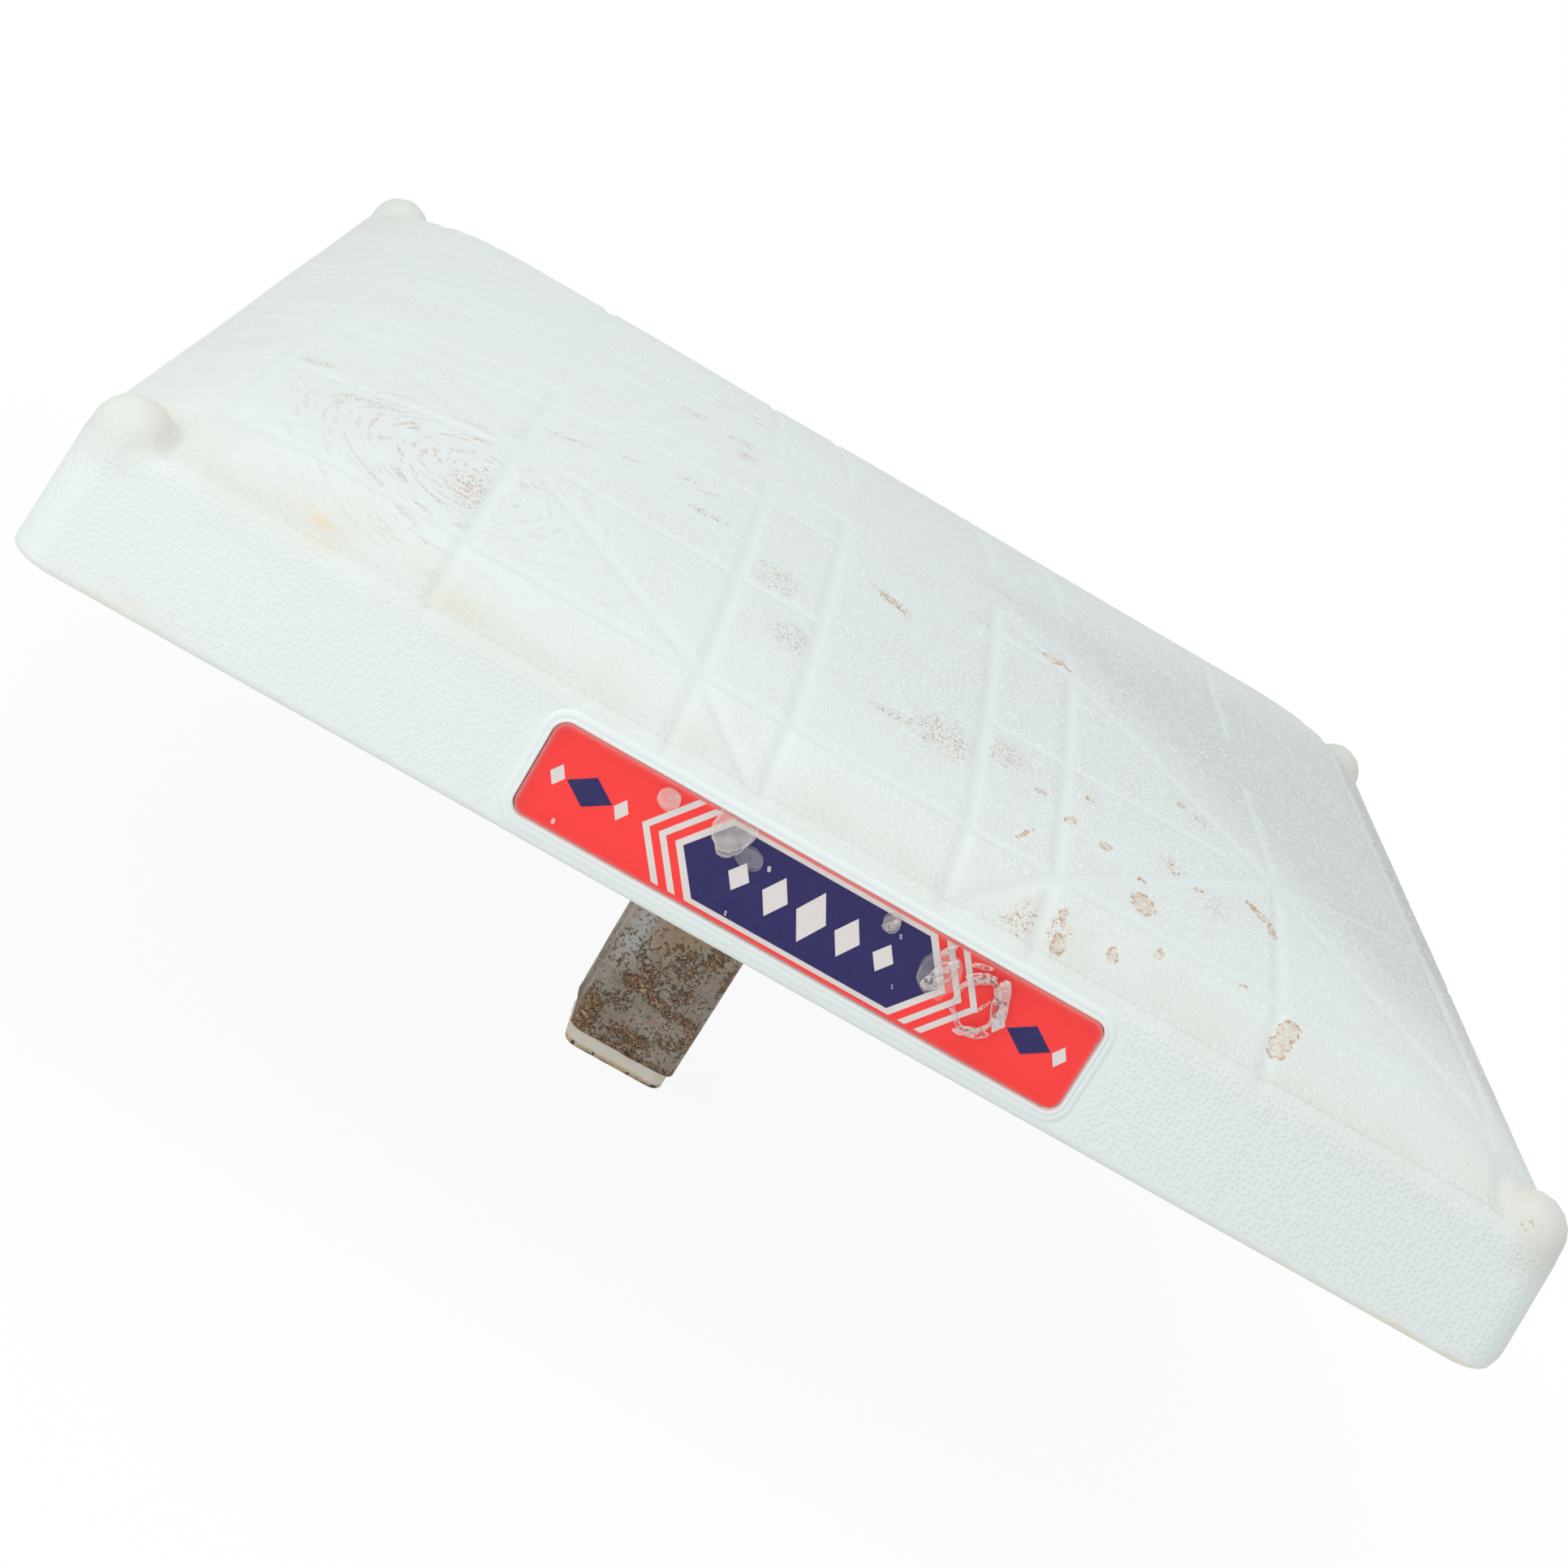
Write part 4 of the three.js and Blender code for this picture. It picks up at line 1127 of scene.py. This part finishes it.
def ground_post(material):
    points, faces, skin = post_mesh()
    x, y, z = points[skin].T
    front = smooth(-0.012, -0.019, y)
    scattered = 0.6 * np.clip(0.3 + 0.9 * noise_at(points[skin], 60, 3.0), 0, 0.75)
    rust = np.maximum(front * spots_share(x, z, RUST_PATCHES), (1 - 0.75 * front) * scattered)
    bead, ripple = post_bead(points[skin])
    gouge = front * spots_share(x, z, GOUGE)
    burr = front * spots_share(x, z, BURR)
    dent = bell(x + POST_END_HALF, 0.012) * smooth(DENT_TOP, -POST_LENGTH, z) * smooth(0.02, 0.0, y)
    lift = FLAKE_LIFT * rust * noise_at(points[skin], 420, 1.0) + bead * (BEAD_LIFT + BEAD_RIPPLE * ripple)
    lift += BURR_LIFT * burr - GOUGE_DEPTH * gouge - DENT_DEPTH * dent
    outward = np.column_stack([x, y]) / np.hypot(x, y)[:, None]
    points[skin, :2] += outward * lift[:, None]
    eaten = smooth(-POST_LENGTH + 0.005, -POST_LENGTH, points[:, 2])
    points[:, 2] += END_WASTE * eaten * np.clip(0.4 + noise_at(points * (1, 1, 0), 130, 7.0), 0, 1)
    piece = make_object("post_tube", points, faces)
    bare = bell(x + 0.015, 0.0036) * front * smooth(-0.098, -0.085, z)
    end = smooth(-POST_LENGTH + 0.0035, -POST_LENGTH + 0.0005, z)
    layers = {
        "rust": np.clip(rust + 0.3 * dent + 0.35 * gouge + 0.6 * end, 0, 1),
        "bare": np.clip(0.7 * bare * (1 - 0.5 * rust) + 0.5 * bead * (1 + 0.4 * ripple), 0, 1),
        "film": front * spots_share(x, z, BROWN_FILM),
    }
    for name, values in layers.items():
        whole = np.full(len(points), 0.5 if name == "rust" else 0.0)
        whole[skin] = values
        paint(piece, name, whole)
    dress(piece, material, "post_steel", "ground_post")


def plug_material():
    """Cream plastic, stained tan and brown towards its lower edge and rusty under the tube."""
    material, tree = new_material("stained_plug")
    spots = cloud(tree, 330, 5, roughness=0.65)
    colour = coats(
        PLUG_WHITE,
        (cloud(tree, 120, 3).rise(0.4, 0.7, 0.6), PLUG_CREAM),
        ((spots * 0.6 + painted(tree, "low")).rise(0.7, 1.2, 0.85), PLUG_STAIN),
        ((spots * 0.9 + painted(tree, "edge")).rise(1.02, 1.2), DARK_RUST),
    )
    return surface(material, {"Base Color": colour, "Roughness": 0.55}, spots, 0.0003)


def post_plug(material):
    end = plug_low.z
    profile = [(PLUG_HALF - PLUG_EDGE * 1.6, POST_CORNER - PLUG_EDGE, end)]
    for step in range(ROUND_STEPS + 1):
        turn = step / ROUND_STEPS * math.pi / 2
        inset = PLUG_EDGE * (1 - math.sin(turn))
        profile.append((PLUG_HALF - inset, POST_CORNER - inset, end + PLUG_EDGE * (1 - math.cos(turn))))
    heights = np.linspace(end + PLUG_EDGE, PLUG_TOP, PLUG_ROWS + 1)[1:]
    profile += [(PLUG_HALF, POST_CORNER, z) for z in heights]
    stem = POST_END_HALF - POST_WALL - PLUG_FIT
    profile += [(stem, POST_CORNER - POST_WALL, z) for z in (PLUG_TOP, plug_high.z)]
    points, faces = loft([square_ring(*ring) for ring in reversed(profile)])
    rim = 1 - smooth(end + 0.001, end + 0.004, points[:, 2])
    chips = np.clip(noise_at(points, 260, 5.0) - 0.25, 0, 1) * rim
    points[:, :2] *= (1 - 0.06 * chips)[:, None]
    piece = make_object("plug_cap", points, faces, 50)
    x, y, z = points.T
    foot = 1 - smooth(end + 0.0006, end + 0.0022, z)
    under_tube = smooth(PLUG_TOP - 0.0009, PLUG_TOP - 0.0001, z)
    cracks = spots_share(x, z - end, PLUG_CRACKS) * (y < 0)
    paint(piece, "low", 1 - smooth(end + 0.0005, end + 0.0045, z))
    paint(piece, "edge", np.maximum.reduce([0.66 * foot, 0.6 * under_tube, cracks]))
    dress(piece, material, "plug", "post_plug")


# Pieces that keep their CAD shape
def plain_material(name, colour, other, scale, roughness, depth, metallic=0.0):
    material, tree = new_material(name)
    mottle = cloud(tree, scale, 5)
    colour = coats(colour, (mottle.rise(0.35, 0.65), other))
    values = {"Base Color": colour, "Roughness": roughness, "Metallic": metallic}
    return surface(material, values, mottle, depth)


def dress_cad_nodes():
    looks = {name: plain_material(*look) for name, look in PLAIN_LOOKS.items()}
    bright = plain_material(*FASTENER_LOOK)
    for name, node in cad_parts.items():
        if node.hide_render:
            continue
        node.data.materials.clear()
        node.data.materials.append(looks.get(name, bright))
        soften(node, CAD_EDGE)


def soften(piece, width):
    """Joins a CAD mesh's facets and rounds its edges."""
    weld = piece.modifiers.new("weld", "WELD")
    weld.merge_threshold = 0.00001
    bevel = piece.modifiers.new("edges", "BEVEL")
    bevel.width = width
    bevel.segments = 2
    bevel.limit_method = "ANGLE"
    bevel.angle_limit = math.radians(40)


def foam_block():
    """The padding, in the shape of its CAD solid, which already has pockets for the nuts."""
    piece = new_object("foam_block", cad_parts["foam_core"].data.copy())
    piece.data.materials.clear()
    soften(piece, FOAM_EDGE)
    dress(piece, plain_material(*FOAM_LOOK), "foam", "foam_core")


# Stage
def photo_camera():
    data = bpy.data.cameras.new("camera")
    data.lens = CAMERA_LENS
    camera = new_object("camera", data)
    heading = Matrix.Rotation(-CAMERA_YAW, 4, "Z")
    tilt = Matrix.Rotation(math.pi / 2 - CAMERA_PITCH, 4, "X")
    roll = Matrix.Rotation(CAMERA_ROLL, 4, "Z")
    camera.matrix_world = Matrix.Translation(CAMERA_PLACE) @ heading @ tilt @ roll
    bpy.context.scene.camera = camera


def soft_lamp(name, direction, distance, size, level):
    """A square soft lamp aimed at the base; level is what it adds to a white face turned to it."""
    data = bpy.data.lights.new(name, "AREA")
    data.size = size
    data.energy = level * (math.pi * distance) ** 2
    lamp = new_object(name, data)
    away = Vector(direction).normalized()
    lamp.matrix_world = Matrix.LocRotScale(away * distance, away.to_track_quat("Z", "Y"), None)
    lamp.visible_camera = False


def seen_rays(tree):
    """1 for rays that show the surroundings themselves: camera, gloss and glass."""
    kinds = ("Is Camera Ray", "Is Glossy Ray", "Is Transmission Ray")
    camera, gloss, glass = (add(tree, "LightPath", output=kind) for kind in kinds)
    return camera.largest(gloss).largest(glass)


def white_world():
    world = bpy.data.worlds.new("studio")
    world.use_nodes = True
    tree = world.node_tree
    ambient = add(tree, "Background", {"Color": (*[AMBIENT] * 3, 1)})
    white = add(tree, "Background", {"Color": (1, 1, 1, 1)})
    shown = add(tree, "MixShader", {0: seen_rays(tree), 1: ambient, 2: white})
    fill(tree.nodes["World Output"], {"Surface": shown})
    bpy.context.scene.world = world


def pale_floor():
    """White towards its far parts, and under the base a little of its own shading, so a shadow shows."""
    floor_z = cad_box[0].z - FLOOR_GAP
    corners = [(FLOOR_HALF * sx, FLOOR_HALF * sy, floor_z) for sx, sy in QUARTERS]
    floor = make_object("floor", corners, [(0, 1, 2, 3)])
    material, tree = new_material("pale_floor")
    bounce = add(tree, "BsdfDiffuse", {"Color": (0.94, 0.94, 0.93, 1)})
    lit = add(tree, "BsdfDiffuse", {"Color": (0.95, 0.95, 0.95, 1)})
    glow = add(tree, "Emission", {"Color": (1, 1, 1, 1)})
    far = length(place(tree)).rise(FLOOR_NEAR, FLOOR_FAR, SHADE) + (1 - SHADE)
    shown = add(tree, "MixShader", {0: far, 1: lit, 2: glow})
    mix = add(tree, "MixShader", {0: seen_rays(tree), 1: bounce, 2: shown})
    fill(tree.nodes["Material Output"], {"Surface": mix})
    floor.data.materials.append(material)


photo_camera()
rubber_cover(rubber_material())
nameplate_rim(rim_material())
nameplate_print()
nameplate_lens()
peeled_film(film_material())
ground_post(post_material())
post_plug(plug_material())
foam_block()
dress_cad_nodes()
soft_lamp("key", *KEY_LAMP)
soft_lamp("front", *FRONT_LAMP)
white_world()
pale_floor()
bpy.context.scene.view_settings.view_transform = "Standard"
